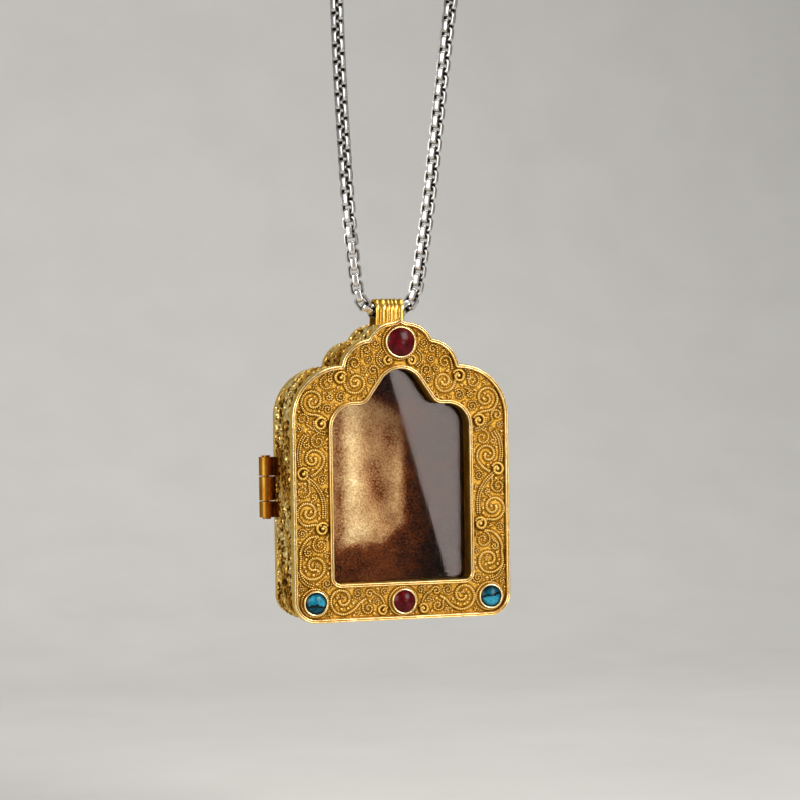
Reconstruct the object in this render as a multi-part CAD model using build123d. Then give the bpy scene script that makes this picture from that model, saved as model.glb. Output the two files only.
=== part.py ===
"""Gilt ghau amulet box: a windowed pendant case with a hinged back, hung by its bail on a silver box chain.

Millimetres, +Z up, the window faces -Y. The pieces are laid out on the bench with the case's underside at
Z 0 and the rim's crest at Y 0, then moved so that the point that the chain hangs from is the origin.
"""
import os
from math import cos, radians, sin

from build123d import *

# Case outline, seen from the front and the same on both sides
CASE_WIDTH = 39.8
CASE_DEPTH = 15.0
CORNER_R = 4.0
SIDE_HEIGHT = 35.6
NOTCH_X = 10.8
SHOULDER_RISE = 9.25
UPPER_NOTCH_X = 5.85
LOBE_RISE = 4.55
LOBE_SAGITTA = 1.1
TOP_RISE = 3.7
TOP_TURN_X = 1.6
TOP_TURN_RISE = 2.9
TOP_SAGITTA = 0.7
PEAK_SAGITTA = 0.18

# Sheet and wire of the case
RIM_WIDTH = 0.8
RIM_HEIGHT = 1.0
RIM_ROUNDING = 0.25
PLATE_T = 0.8
BAND_SETBACK = 0.6
BAND_WALL = 0.8
EDGE_WIRE_PROUD = 0.3
EDGE_WIRE_WIDTH = 0.7

# Window, measured on the crest of its lip
WINDOW_WIDTH = 25.7
WINDOW_SILL = 6.4
WINDOW_SHOULDER = 6.25
WINDOW_SHOULDER_LIFT = 2.6
WINDOW_FOOT_R = 1.5
WINDOW_SHOULDER_R = 4.3
THROAT_R = 1.9
ARCH_R = 4.4
ARCH_RISE = 6.25
COLLAR_WALL = 0.7
COLLAR_PROUD = 0.75
COLLAR_DEPTH = 2.95
COLLAR_BEVEL = 0.2
PANE_T = 1.0
PANE_OVERLAP = 0.7
PANE_CLEARANCE = 0.1
RETAINER_WALL = 0.7

# Stones and their collars
RUBY_TOP_R = 2.45
RUBY_TOP_DROP = 4.3
RUBY_BOTTOM_R = 1.93
RUBY_BOTTOM_Z = 3.3
TURQUOISE_R = 1.87
TURQUOISE_INSET_X = 3.85
TURQUOISE_Z = 3.55
BEZEL_WALL = 0.28
BEZEL_HEIGHT = 1.15
BEZEL_LIP = 0.12
STONE_CLEARANCE = 0.03
DOME_RISE = 0.75

# Raised snail volutes of the scrollwork
VOLUTE_WIRE = 0.34
VOLUTE_R = 1.02
VOLUTE_SMALL_R = 0.8
VOLUTE_EYE_R = 0.1
VOLUTE_TURNS = 1.5
VOLUTE_SIDES = 9
VOLUTE_HEIGHT = 0.8
VOLUTE_CLEARANCE = 0.1
VOLUTE_LOW_RISE = 10.1
VOLUTE_SIDE_DROP = 9.5
VOLUTE_HIGH_DROP = 3.4
VOLUTE_FOOT_X = 3.7
VOLUTE_CROWN_X = 2.1
VOLUTE_CROWN_LIFT = 1.2

# Back door and its hinge
DOOR_T = 1.0
DOOR_SETBACK = 0.35
DOOR_BORDER = 2.2
DOOR_RECESS = 0.25
SEAM_GAP = 0.1
LINER_DEPTH = 1.2
LINER_WALL = 0.5
LINER_FLOOR = 0.3
LINER_CLEARANCE = 0.15
NICK_R = 1.6
NICK_BITE = 0.5
NICK_Z = 23.0
KNUCKLE_R = 1.3
HINGE_STANDOFF = 1.95
HINGE_SINK = 0.05
HINGE_BASE_Z = 18.0
KNUCKLE_LENGTHS = (2.8, 4.2, 3.3)
KNUCKLE_GAP = 0.2
LEAF_T = 0.6
LEAF_REACH = 2.8
LEAF_WEB = 1.0
PIN_R = 0.5
PIN_CLEARANCE = 0.05
PIN_HEAD_R = 0.75
PIN_HEAD_T = 0.25

# Bail, a fluted strap bent over the chain
BAIL_WIDTH = 5.15
BAIL_RISE = 3.5
BAIL_BORE_R = 1.7
BAIL_STRAP = 0.55
BAIL_Y = 8.4
FLUTES = 6
FLUTE_DEPTH = 0.25
FLUTE_LAND = 0.34

# Box chain: links as broad square loops, each turned a quarter from the last, on two routes (X, height
# above the bail's axis) that meet in the bail
LINK_WIDTH = 2.5
LINK_LENGTH = 2.47
LINK_BAR = 0.42
LINK_BREADTH = 0.85
LINK_CORNER = 0.56
LINK_PITCH = 1.43
CHAIN_TWIST = 30.0
MIDDLE_TWIST = 45.0
TWIST_LINKS = 8
HANG_RISE = 58.65
LEFT_ROUTE = [
    (0.0, -0.2), (-1.8, -0.1), (-3.3, 0.4), (-4.55, 1.5), (-5.3, 3.15), (-5.75, 5.85),
    (-6.2, 10.65), (-6.85, 18.15), (-7.4, 28.15), (-7.95, 39.15), (-8.35, 50.15), (-8.45, 58.15),
]
RIGHT_ROUTE = [
    (0.0, -0.2), (1.8, -0.1), (3.3, 0.4), (4.55, 1.5), (5.4, 3.15), (6.0, 5.85),
    (6.75, 10.65), (7.95, 18.15), (9.25, 28.15), (10.6, 39.15), (12.1, 50.15), (13.25, 58.15),
]
ROUTE_FILLET = 0.45

# End tag of the right strand, with the eye that the clasp hooks into
TAG_T = 0.7
TAG_EYE_R = 1.6
TAG_WALL = 0.8
TAG_WEB = 0.5
TAG_SLOT_CLEARANCE = 0.1
TAG_REACH = 3.6

# Jump ring and lobster clasp of the left strand
RING_R = 1.7
RING_WIRE_R = 0.3
RING_CLEARANCE = 0.15
CLASP_T = 2.4
CLASP_HEAD_R = 3.3
CLASP_MOUTH_R = 2.2
CLASP_NECK_R = 1.7
CLASP_NECK_RISE = 2.4
CLASP_HEAD_RISE = 7.6
CLASP_EYE_R = 0.7
CLASP_EYE_WALL = 0.6
CLASP_EYE_T = 0.7
GATE_T = 0.8
GATE_SLOT_CLEARANCE = 0.1
GATE_BAR = 0.9
GATE_PIVOT_R = 0.85
GATE_PIVOT_X = 0.75
GATE_REACH = 5.7
GATE_START_DEG = -62.0
MOUTH_END_DEG = 45.0
GATE_NUB_R = 0.9
GATE_NUB_DEG = -42.0
GATE_LID_DEG = -35.0
CLASP_PIN_R = 0.35

# Heights and depths that follow
half_width = CASE_WIDTH / 2
notch = (NOTCH_X, SIDE_HEIGHT + SHOULDER_RISE)
upper_notch = (UPPER_NOTCH_X, notch[1] + LOBE_RISE)
peak_z = upper_notch[1] + TOP_RISE
panel_y = RIM_HEIGHT
plate_back_y = panel_y + PLATE_T
seam_y = CASE_DEPTH - DOOR_T
band_back_y = seam_y - SEAM_GAP
band_half_width = half_width - BAND_SETBACK
hinge_x = -band_half_width - HINGE_STANDOFF
hinge_y = CASE_DEPTH - KNUCKLE_R - HINGE_SINK
collar_front_y = panel_y - COLLAR_PROUD
pane_front_y = collar_front_y + COLLAR_DEPTH
pane_back_y = pane_front_y + PANE_T
window_shoulder_z = SIDE_HEIGHT + WINDOW_SHOULDER_LIFT
throat_x = WINDOW_WIDTH / 2 - WINDOW_SHOULDER
arch_top_z = window_shoulder_z + ARCH_RISE
bail_axis_z = peak_z + BAIL_RISE - BAIL_STRAP - BAIL_BORE_R


def slab(sketch, front, back):
    """A front-view sketch drawn in X and Z, made solid from depth `front` to depth `back` along Y."""
    plane = Plane(origin=(0, back, 0), x_dir=(1, 0, 0), z_dir=(0, -1, 0))
    return extrude(plane * sketch, amount=back - front)


def case_outline(inset=0.0):
    """The lobed arch: straight sides, round shoulders, a lobe between two cusps, and a small ogee peak."""
    turn = (TOP_TURN_X, upper_notch[1] + TOP_TURN_RISE)
    right_half = Curve() + [
        Line((0, 0), (half_width - CORNER_R, 0)),
        TangentArc((half_width - CORNER_R, 0), (half_width, CORNER_R), tangent=(1, 0)),
        Line((half_width, CORNER_R), (half_width, SIDE_HEIGHT)),
        TangentArc((half_width, SIDE_HEIGHT), notch, tangent=(0, 1)),
        SagittaArc(notch, upper_notch, -LOBE_SAGITTA),
        SagittaArc(upper_notch, turn, -TOP_SAGITTA),
        SagittaArc(turn, (0, peak_z), PEAK_SAGITTA),
    ]
    face = make_face(right_half + mirror(right_half, Plane.YZ))
    if inset == 0.0:
        return face
    return offset(face, amount=-inset, kind=Kind.ARC)


def window_outline(growth=0.0):
    """The window: a tall rectangle with round shoulders under a bell-shaped arch, joined by soft throats."""
    body_height = window_shoulder_z - WINDOW_SILL
    body = Pos(0, WINDOW_SILL + body_height / 2) * Rectangle(WINDOW_WIDTH, body_height)
    body = fillet(body.vertices().group_by(Axis.Y)[0], WINDOW_FOOT_R)
    body = fillet(body.vertices().group_by(Axis.Y)[-1], WINDOW_SHOULDER_R)
    crown = Pos(0, arch_top_z - ARCH_R) * Circle(ARCH_R)
    foot = Line((-throat_x, window_shoulder_z), (throat_x, window_shoulder_z))
    window = body + make_hull(crown.edges() + [foot])
    throats = [v for v in window.vertices() if abs(abs(v.X) - throat_x) < 0.01]
    window = fillet(throats, THROAT_R)
    if growth == 0.0:
        return window
    return offset(window, amount=growth, kind=Kind.ARC)


def outer_rim():
    """The raised round lip along the front edge."""
    ring = case_outline() - case_outline(RIM_WIDTH)
    crest = case_outline(RIM_ROUNDING) - case_outline(RIM_WIDTH - RIM_ROUNDING)
    return slab(ring, RIM_ROUNDING, panel_y) + slab(crest, 0, RIM_ROUNDING)


def front_plate():
    """The sheet that carries the scrollwork, cut out for the window's collar."""
    return slab(case_outline() - window_outline(COLLAR_WALL / 2), panel_y, plate_back_y)


def case_band():
    """The side wall, one strip bent round the outline and soldered to the back of the plate."""
    return slab(case_outline(BAND_SETBACK) - case_outline(BAND_SETBACK + BAND_WALL), plate_back_y, band_back_y)


def edge_wire(front):
    """A flat wire soldered round the band, one at each edge."""
    ring = case_outline(BAND_SETBACK - EDGE_WIRE_PROUD) - case_outline(BAND_SETBACK)
    return slab(ring, front, front + EDGE_WIRE_WIDTH)


def window_collar():
    """The strip that lines the window, its front edge standing as the lip."""
    ring = window_outline(COLLAR_WALL / 2) - window_outline(-COLLAR_WALL / 2)
    strip = slab(ring, collar_front_y, pane_front_y)
    return chamfer(strip.faces().sort_by(Axis.Y)[0].edges(), COLLAR_BEVEL)


def window_pane():
    """The clear pane, seated on the back edge of the collar."""
    return slab(window_outline(PANE_OVERLAP), pane_front_y, pane_back_y)


def pane_retainer():
    """The tray-shaped frame soldered behind the plate, whose flange holds the pane from behind."""
    skirt_in = PANE_OVERLAP + PANE_CLEARANCE
    outer = window_outline(skirt_in + RETAINER_WALL)
    skirt = slab(outer - window_outline(skirt_in), plate_back_y, pane_back_y)
    flange = slab(outer - window_outline(), pane_back_y, pane_back_y + RETAINER_WALL)
    return skirt + flange


def spun(profile, x, z):
    """A profile of radius and height, spun about the line through (x, z) that points out of the panel."""
    half_section = Plane.XZ * make_face(Polyline(*profile, close=True))
    turned = revolve(half_section, Axis.Z)
    return Pos(x, panel_y, z) * Rot(90, 0, 0) * turned


def bezel(stone_r, x, z):
    """A plain collar round the stone, its lip pressed over the stone's edge."""
    inner = stone_r + STONE_CLEARANCE
    outer = inner + BEZEL_WALL
    lip = BEZEL_HEIGHT - BEZEL_LIP
    return spun([(inner, 0), (outer, 0), (outer, lip), (outer - BEZEL_LIP, BEZEL_HEIGHT), (inner, BEZEL_HEIGHT)], x, z)


def stone(stone_r, x, z):
    """A cabochon: a short straight girdle under a shallow dome."""
    girdle = BEZEL_HEIGHT - BEZEL_LIP
    section = make_face(Curve() + [
        Line((0, 0), (stone_r, 0)),
        Line((stone_r, 0), (stone_r, girdle)),
        ThreePointArc((stone_r, girdle), *dome_points(stone_r, girdle)),
        Line((0, girdle + DOME_RISE), (0, 0)),
    ])
    return Pos(x, panel_y, z) * Rot(90, 0, 0) * revolve(Plane.XZ * section, Axis.Z)


def dome_points(stone_r, girdle):
    """Middle and top of the dome's arc, on the circle through the girdle's edge and the crown."""
    dome_r = (stone_r ** 2 + DOME_RISE ** 2) / (2 * DOME_RISE)
    half_x = stone_r / 2
    half_z = girdle + DOME_RISE - dome_r + (dome_r ** 2 - half_x ** 2) ** 0.5
    return (half_x, half_z), (0, girdle + DOME_RISE)


def volute(start_r, x, z, hand):
    """A snail of flat wire: a spiral that closes in by the same step on every turn, drawn with few sides."""
    outer = []
    inner = []
    for corner in range(int(VOLUTE_TURNS * VOLUTE_SIDES) + 1):
        turns = corner / VOLUTE_SIDES
        radius = start_r + (VOLUTE_EYE_R - start_r) * turns / VOLUTE_TURNS
        across = hand * cos(radians(360.0 * turns))
        along = sin(radians(360.0 * turns))
        outer.append(((radius + VOLUTE_WIRE / 2) * across, (radius + VOLUTE_WIRE / 2) * along))
        inner.append(((radius - VOLUTE_WIRE / 2) * across, (radius - VOLUTE_WIRE / 2) * along))
    strip = make_face(Polyline(*outer, *reversed(inner), close=True))
    return Pos(x, 0, z) * slab(strip, panel_y - VOLUTE_HEIGHT, panel_y)


def volutes():
    """Twelve snails in mirrored pairs, each beside the lip, cusp or stone that it grows from."""
    edge = VOLUTE_WIRE / 2 + VOLUTE_CLEARANCE
    beside_window = WINDOW_WIDTH / 2 + COLLAR_WALL / 2 + VOLUTE_R + edge
    beside_rim = half_width - RIM_WIDTH - VOLUTE_R - edge
    pairs = [
        (VOLUTE_R, notch[0], notch[1] - RIM_WIDTH - VOLUTE_R - edge),
        (VOLUTE_R, beside_window, window_shoulder_z - VOLUTE_HIGH_DROP),
        (VOLUTE_R, beside_rim, SIDE_HEIGHT - VOLUTE_SIDE_DROP),
        (VOLUTE_R, beside_window, WINDOW_SILL + VOLUTE_LOW_RISE),
        (VOLUTE_SMALL_R, VOLUTE_FOOT_X, RIM_WIDTH + VOLUTE_SMALL_R + edge),
        (VOLUTE_SMALL_R, VOLUTE_CROWN_X, arch_top_z + VOLUTE_CROWN_LIFT),
    ]
    return Compound([volute(radius, hand * x, z, hand) for radius, x, z in pairs for hand in (-1, 1)])


def rear_door():
    """The back cover: a sheet with a raised border and a nick for a fingernail on its free edge."""
    edge_x = half_width - DOOR_SETBACK
    nick = Pos(edge_x + NICK_R - NICK_BITE, NICK_Z) * Circle(NICK_R)
    sheet = slab(case_outline(DOOR_SETBACK) - nick, seam_y, CASE_DEPTH)
    return sheet - slab(case_outline(DOOR_SETBACK + DOOR_BORDER), CASE_DEPTH - DOOR_RECESS, CASE_DEPTH)


def door_liner():
    """The gilt tray on the inside of the door, whose upstand slips into the band and holds the door shut."""
    outside = BAND_SETBACK + BAND_WALL + LINER_CLEARANCE
    tray = slab(case_outline(outside), seam_y - LINER_DEPTH, seam_y)
    return tray - slab(case_outline(outside + LINER_WALL), seam_y - LINER_DEPTH, seam_y - LINER_FLOOR)


def knuckle_spans():
    """Lowest and highest Z of the three knuckles, from the lowest up."""
    spans = []
    low = HINGE_BASE_Z
    for length in KNUCKLE_LENGTHS:
        spans.append((low, low + length))
        low += length + KNUCKLE_GAP
    return spans


def block(x_span, y_span, z_span):
    """A box between the given limits."""
    size = [high - low for low, high in (x_span, y_span, z_span)]
    middle = [(high + low) / 2 for low, high in (x_span, y_span, z_span)]
    return Pos(*middle) * Box(*size)


def barrel(span, radius):
    """A round bar on the hinge's axis over a span of Z."""
    return Pos(hinge_x, hinge_y, (span[0] + span[1]) / 2) * Cylinder(radius, span[1] - span[0])


def hinge_leaf_case(band, wire):
    """Two knuckles on leaves that lie on the side wall, bridged over the back wire."""
    leaves = []
    for span in knuckle_spans()[::2]:
        wall_x = -band_half_width
        leaf = block((wall_x - LEAF_T, wall_x), (band_back_y - LEAF_REACH, band_back_y - LEAF_WEB), span)
        bridge = block((hinge_x, wall_x), (band_back_y - LEAF_WEB, band_back_y), span)
        solid = barrel(span, KNUCKLE_R) + leaf + bridge - barrel(span, PIN_R + PIN_CLEARANCE) - wire - band
        leaves.append(solid.solid())
    return Compound(leaves)


def hinge_leaf_door():
    """The middle knuckle, on a web that meets the edge of the door."""
    span = knuckle_spans()[1]
    door_edge = -(half_width - DOOR_SETBACK)
    web = block((hinge_x, door_edge), (seam_y, hinge_y + KNUCKLE_R), span)
    return (barrel(span, KNUCKLE_R) + web - barrel(span, PIN_R + PIN_CLEARANCE)).solid()


def hinge_pin():
    """The pin, peened to a small head at both ends."""
    spans = knuckle_spans()
    low, high = spans[0][0] - PIN_CLEARANCE, spans[-1][1] + PIN_CLEARANCE
    shank = barrel((low, high), PIN_R)
    return shank + barrel((low - PIN_HEAD_T, low), PIN_HEAD_R) + barrel((high, high + PIN_HEAD_T), PIN_HEAD_R)


def bail(case_body):
    """A fluted strap bent to a U over the chain, its feet soldered to the top of the band."""
    outside = BAIL_BORE_R + BAIL_STRAP
    step = BAIL_WIDTH / FLUTES
    section = [(-BAIL_WIDTH / 2, BAIL_BORE_R)]
    for ridge in range(FLUTES):
        left = -BAIL_WIDTH / 2 + ridge * step
        section.append((left, outside - FLUTE_DEPTH))
        section.append((left + (step - FLUTE_LAND) / 2, outside))
        section.append((left + (step + FLUTE_LAND) / 2, outside))
    section.append((BAIL_WIDTH / 2, outside - FLUTE_DEPTH))
    section.append((BAIL_WIDTH / 2, BAIL_BORE_R))
    strap = make_face(Polyline(*section, close=True))
    centre = (0, BAIL_Y, bail_axis_z)
    front = Plane(origin=centre, x_dir=(1, 0, 0), z_dir=(0, 0, -1)) * strap
    rear = Plane(origin=centre, x_dir=(-1, 0, 0), z_dir=(0, 0, -1)) * strap
    leg = bail_axis_z - notch[1]
    arch = revolve(front, Axis(centre, (-1, 0, 0)), 180)
    return (arch + extrude(front, amount=leg) + extrude(rear, amount=leg) - case_body).solid()


def chain_path(route):
    """The strand's line: straight runs joined by arcs as large as the shorter run beside each allows."""
    points = [Vector(x, BAIL_Y, bail_axis_z + z) for x, z in route]
    radii = []
    for before, here, after in zip(points, points[1:], points[2:]):
        half_turn = radians((here - before).get_angle(after - here) / 2)
        shorter = min((here - before).length, (after - here).length)
        radii.append(ROUTE_FILLET * shorter * cos(half_turn) / sin(half_turn))
    return FilletPolyline(*points, radius=radii)


def link_planes(path):
    """One plane for each link: origin on the line, Z along it, X across the link's loop.

    Links stand at MIDDLE_TWIST where the strands meet and ease to CHAIN_TWIST over the first few.
    """
    planes = []
    count = int(path.length / LINK_PITCH)
    for index in range(count):
        place = (index + 0.5) * LINK_PITCH
        along = path.tangent_at(place, position_mode=PositionMode.LENGTH)
        across = along.cross(Vector(0, 1, 0))
        ease = max(0.0, 1.0 - index / TWIST_LINKS)
        turn = CHAIN_TWIST + (MIDDLE_TWIST - CHAIN_TWIST) * ease + 90.0 * (index % 2)
        x_dir = across.rotate(Axis((0, 0, 0), along), turn)
        planes.append(Plane(path.position_at(place, position_mode=PositionMode.LENGTH), x_dir=x_dir, z_dir=along))
    return planes


def chain_link():
    """One broad loop with cut corners, standing along Z and open along Y."""
    loop = chamfer(Rectangle(LINK_WIDTH, LINK_LENGTH).vertices(), LINK_CORNER)
    loop -= Rectangle(LINK_WIDTH - 2 * LINK_BAR, LINK_LENGTH - 2 * LINK_BAR)
    return extrude(Plane.XZ * loop, amount=LINK_BREADTH / 2, both=True)


def chain(planes):
    """The links of one strand, each a solid of its own."""
    link = chain_link().solid()
    return Compound([plane.location * link for plane in planes])


def end_tag(last):
    """A flat tag whose slot takes the last link's bar and whose round eye takes the clasp."""
    seat = LINK_LENGTH / 2 - LINK_BAR - TAG_SLOT_CLEARANCE
    slot_height = LINK_BAR + 3 * TAG_SLOT_CLEARANCE
    slot_width = LINK_BREADTH + 2 * TAG_SLOT_CLEARANCE
    slot_centre = seat + slot_height / 2
    foot_r = slot_width / 2 + TAG_WEB
    foot = Pos(0, seat - TAG_WEB + foot_r) * Circle(foot_r)
    eye_place = Pos(0, slot_centre + TAG_REACH)
    head = eye_place * Circle(TAG_EYE_R + TAG_WALL)
    plate = make_hull(foot.edges() + head.edges())
    plate -= Pos(0, slot_centre) * Rectangle(slot_width, slot_height)
    plate -= eye_place * Circle(TAG_EYE_R)
    flat = Plane(last.origin, x_dir=last.y_dir, z_dir=last.x_dir)
    return extrude(flat * plate, amount=TAG_T / 2, both=True)


def jump_ring(last):
    """The ring that joins the clasp to the last link of the left strand, and the middle of its wire's top."""
    lift = LINK_LENGTH / 2 - LINK_BAR - RING_CLEARANCE - RING_WIRE_R + RING_R
    centre = last.origin + last.z_dir * lift
    section = Pos(RING_R, 0) * RegularPolygon(RING_WIRE_R, 6)
    ring = revolve(Plane.XZ * section, Axis.Z)
    return Plane(centre, x_dir=last.z_dir, z_dir=last.x_dir).location * ring, centre + last.z_dir * RING_R


def clasp_plane(last, ring_top):
    """The clasp's own plane: origin in its tail eye, Y along the chain, Z through its thickness."""
    origin = ring_top + last.z_dir * (CLASP_EYE_R - RING_WIRE_R - RING_CLEARANCE)
    return Plane(origin, x_dir=last.x_dir, z_dir=last.x_dir.cross(last.z_dir))


head_place = Pos(0, CLASP_HEAD_RISE)
pivot_place = Pos(GATE_PIVOT_X, CLASP_NECK_RISE + GATE_PIVOT_R)


def on_ring(radius, degrees):
    """A point at an angle about the middle of the clasp's round throat."""
    return radius * cos(radians(degrees)), CLASP_HEAD_RISE + radius * sin(radians(degrees))


def mouth_sector(start, reach):
    """The wedge of the clasp's head that the gate fills, ended by an arc about the gate's pivot."""
    far = 2 * CLASP_HEAD_R
    middle = (start + MOUTH_END_DEG) / 2
    corners = [on_ring(far, start), on_ring(far, middle), on_ring(far, MOUTH_END_DEG)]
    wedge = make_face(Polyline((0, CLASP_HEAD_RISE), *corners, close=True))
    return wedge & pivot_place * Circle(reach)


def clasp_body():
    """The hook: a pear-shaped body with a round throat, an open mouth, a slot for the gate and a thin tail eye."""
    neck = Pos(0, CLASP_NECK_RISE) * Circle(CLASP_NECK_R)
    pear = make_hull(neck.edges() + (head_place * Circle(CLASP_HEAD_R)).edges())
    pear -= head_place * Circle(CLASP_MOUTH_R)
    pear -= mouth_sector(GATE_START_DEG, GATE_REACH + GATE_SLOT_CLEARANCE)
    body = extrude(pear, amount=CLASP_T / 2, both=True)
    slot_r = GATE_PIVOT_R + GATE_SLOT_CLEARANCE
    slot = block(
        (GATE_PIVOT_X - slot_r, CLASP_HEAD_R),
        (CLASP_NECK_RISE + GATE_PIVOT_R - slot_r, CLASP_HEAD_RISE),
        (-GATE_T / 2 - GATE_SLOT_CLEARANCE, GATE_T / 2 + GATE_SLOT_CLEARANCE),
    )
    eye = Circle(CLASP_EYE_R + CLASP_EYE_WALL)
    stem = Pos(0, CLASP_NECK_RISE) * Circle(CLASP_EYE_R)
    tail = make_hull(eye.edges() + stem.edges()) - Circle(CLASP_EYE_R)
    body += extrude(tail, amount=CLASP_EYE_T / 2, both=True)
    return body - slot - pivot_place * Cylinder(CLASP_PIN_R, CLASP_T)


def clasp_gate():
    """The sprung lever that shuts the mouth, with a nub for the thumb."""
    middle_r = CLASP_MOUTH_R + GATE_BAR / 2
    ring = head_place * (Circle(CLASP_MOUTH_R + GATE_BAR) - Circle(CLASP_MOUTH_R))
    arm = ring & mouth_sector(GATE_START_DEG, GATE_REACH)
    root = Pos(*on_ring(middle_r, GATE_START_DEG)) * Circle(GATE_BAR / 2)
    arm += make_hull((pivot_place * Circle(GATE_PIVOT_R)).edges() + root.edges())
    arm += Pos(*on_ring(CLASP_MOUTH_R + GATE_BAR, GATE_NUB_DEG)) * Circle(GATE_NUB_R)
    lid = ring & mouth_sector(GATE_LID_DEG, GATE_REACH)
    gate = extrude(arm, amount=GATE_T / 2, both=True) + extrude(lid, amount=CLASP_T / 2, both=True)
    return gate - pivot_place * Cylinder(CLASP_PIN_R + PIN_CLEARANCE, CLASP_T)


def clasp_pin():
    """The rivet that the gate turns on."""
    return pivot_place * Cylinder(CLASP_PIN_R, CLASP_T)


band = case_band()
back_wire = edge_wire(band_back_y - EDGE_WIRE_WIDTH)
case_body = slab(case_outline(BAND_SETBACK), plate_back_y, band_back_y)
left_links = link_planes(chain_path(LEFT_ROUTE))
right_links = link_planes(chain_path(RIGHT_ROUTE))
ring, ring_top = jump_ring(left_links[-1])
clasp = clasp_plane(left_links[-1], ring_top).location
stones = {
    "ruby_top": (RUBY_TOP_R, 0, peak_z - RUBY_TOP_DROP),
    "ruby_bottom": (RUBY_BOTTOM_R, 0, RUBY_BOTTOM_Z),
    "turquoise_left": (TURQUOISE_R, TURQUOISE_INSET_X - half_width, TURQUOISE_Z),
    "turquoise_right": (TURQUOISE_R, half_width - TURQUOISE_INSET_X, TURQUOISE_Z),
}

nodes = {
    "outer_rim": outer_rim(),
    "front_plate": front_plate(),
    "case_band": band,
    "front_edge_wire": edge_wire(plate_back_y),
    "back_edge_wire": back_wire,
    "window_collar": window_collar(),
    "window_pane": window_pane(),
    "pane_retainer": pane_retainer(),
    "volutes": volutes(),
    "rear_door": rear_door(),
    "door_liner": door_liner(),
    "hinge_leaf_case": hinge_leaf_case(band, back_wire),
    "hinge_leaf_door": hinge_leaf_door(),
    "hinge_pin": hinge_pin(),
    "bail": bail(case_body),
    "chain_left": chain(left_links),
    "chain_right": chain(right_links),
    "end_tag": end_tag(right_links[-1]),
    "jump_ring": ring,
    "clasp_body": clasp * clasp_body(),
    "clasp_gate": clasp * clasp_gate(),
    "clasp_pin": clasp * clasp_pin(),
}
for name, seat in stones.items():
    nodes[name + "_bezel"] = bezel(*seat)
    nodes[name + "_stone"] = stone(*seat)

hang = Pos(0, -BAIL_Y, -bail_axis_z - HANG_RISE)
os.makedirs("parts", exist_ok=True)
for name, shape in nodes.items():
    export_step(hang * shape, "parts/" + name + ".step")
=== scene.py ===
"""Gilt ghau amulet box on its silver chain: scrollwork, stones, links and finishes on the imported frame."""

import bmesh
import bpy
import numpy as np
from mathutils import Matrix, Vector


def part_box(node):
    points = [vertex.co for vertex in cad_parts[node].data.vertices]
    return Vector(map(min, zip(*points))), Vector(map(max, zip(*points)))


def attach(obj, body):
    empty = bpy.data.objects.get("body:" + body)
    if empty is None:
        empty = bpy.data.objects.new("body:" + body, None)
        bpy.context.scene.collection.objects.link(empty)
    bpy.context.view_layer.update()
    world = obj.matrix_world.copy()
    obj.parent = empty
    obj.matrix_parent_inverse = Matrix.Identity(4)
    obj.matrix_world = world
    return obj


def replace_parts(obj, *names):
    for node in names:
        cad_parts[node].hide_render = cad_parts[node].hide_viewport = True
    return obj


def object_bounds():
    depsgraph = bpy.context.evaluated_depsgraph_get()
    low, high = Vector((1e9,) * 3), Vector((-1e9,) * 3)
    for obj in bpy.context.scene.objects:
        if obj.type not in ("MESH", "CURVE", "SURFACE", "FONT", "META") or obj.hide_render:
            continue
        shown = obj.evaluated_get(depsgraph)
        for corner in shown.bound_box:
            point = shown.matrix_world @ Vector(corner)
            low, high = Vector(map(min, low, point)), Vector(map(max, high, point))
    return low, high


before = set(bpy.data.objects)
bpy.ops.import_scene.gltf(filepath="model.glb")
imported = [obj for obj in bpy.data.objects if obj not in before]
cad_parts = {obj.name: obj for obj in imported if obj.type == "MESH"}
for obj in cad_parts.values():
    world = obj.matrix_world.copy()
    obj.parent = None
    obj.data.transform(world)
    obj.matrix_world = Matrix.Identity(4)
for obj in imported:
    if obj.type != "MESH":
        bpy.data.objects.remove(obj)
cad_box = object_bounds()


# Side wall: one strip of sheet bent round the lobed outline and soldered behind the front plate.
# Gilt silver, chased like bark with strands that run along the strip and keep dark oxide between them.
MM = 0.001
rim_low, rim_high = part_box("outer_rim")
HALF_WIDTH = rim_high[0] / MM
PEAK = (rim_high[2] - rim_low[2]) / MM
CORNER = 4.0
SIDE = 35.6
NOTCH = (10.8, 44.85)
UPPER_NOTCH = (5.85, 49.4)
TURN = (1.6, 52.3)
LOBE_BOW = 1.1
TOP_BOW = 0.7
PEAK_BOW = -0.18
FAN_STEPS = 9
TOP_STEPS = 36
PEAK_STEPS = 16
WALL_INSET = 0.6
WALL_SPAN = (2.45, 13.25)
WALL_ROWS = 46
WALL_HEART = 0.35
CHASING_WAVES = 34
# Strands: the fewest and most waves round the strip, and how far they lean.
BROAD_STRANDS = (14, 78, 2.7)
FINE_STRANDS = (70, 170, 6.0)
FINE_SHARE = 0.55
CHASING_HEIGHT = 0.5
STRAND_EDGE = 0.8
CLEAN_RUB = 1.35
OXIDE_RUB = 0.8
CLOUD_GRAIN = 260.0
CLOUD_SHARE = 0.42
SHARP = 50.0
MERGE = 1e-7
GOLD_TONES = [
    (0.0, (0.035, 0.011, 0.0006)),
    (0.3, (0.36, 0.17, 0.014)),
    (0.6, (0.75, 0.48, 0.088)),
    (0.82, (0.91, 0.66, 0.21)),
    (1.0, (0.97, 0.86, 0.54)),
]
WALL_TONES = [
    (0.0, (0.03, 0.009, 0.001)),
    (0.35, (0.2, 0.072, 0.008)),
    (0.6, (0.7, 0.4, 0.07)),
    (0.8, (0.93, 0.68, 0.22)),
    (1.0, (1.0, 0.88, 0.5)),
]


def row(x, y, z):
    """Millimetres across, back from the rim's crest and up from the foot, as metres in the frame."""
    return np.stack(np.broadcast_arrays(x, y, z), axis=-1) * MM + (0.0, rim_low[1], rim_low[2])


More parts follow.
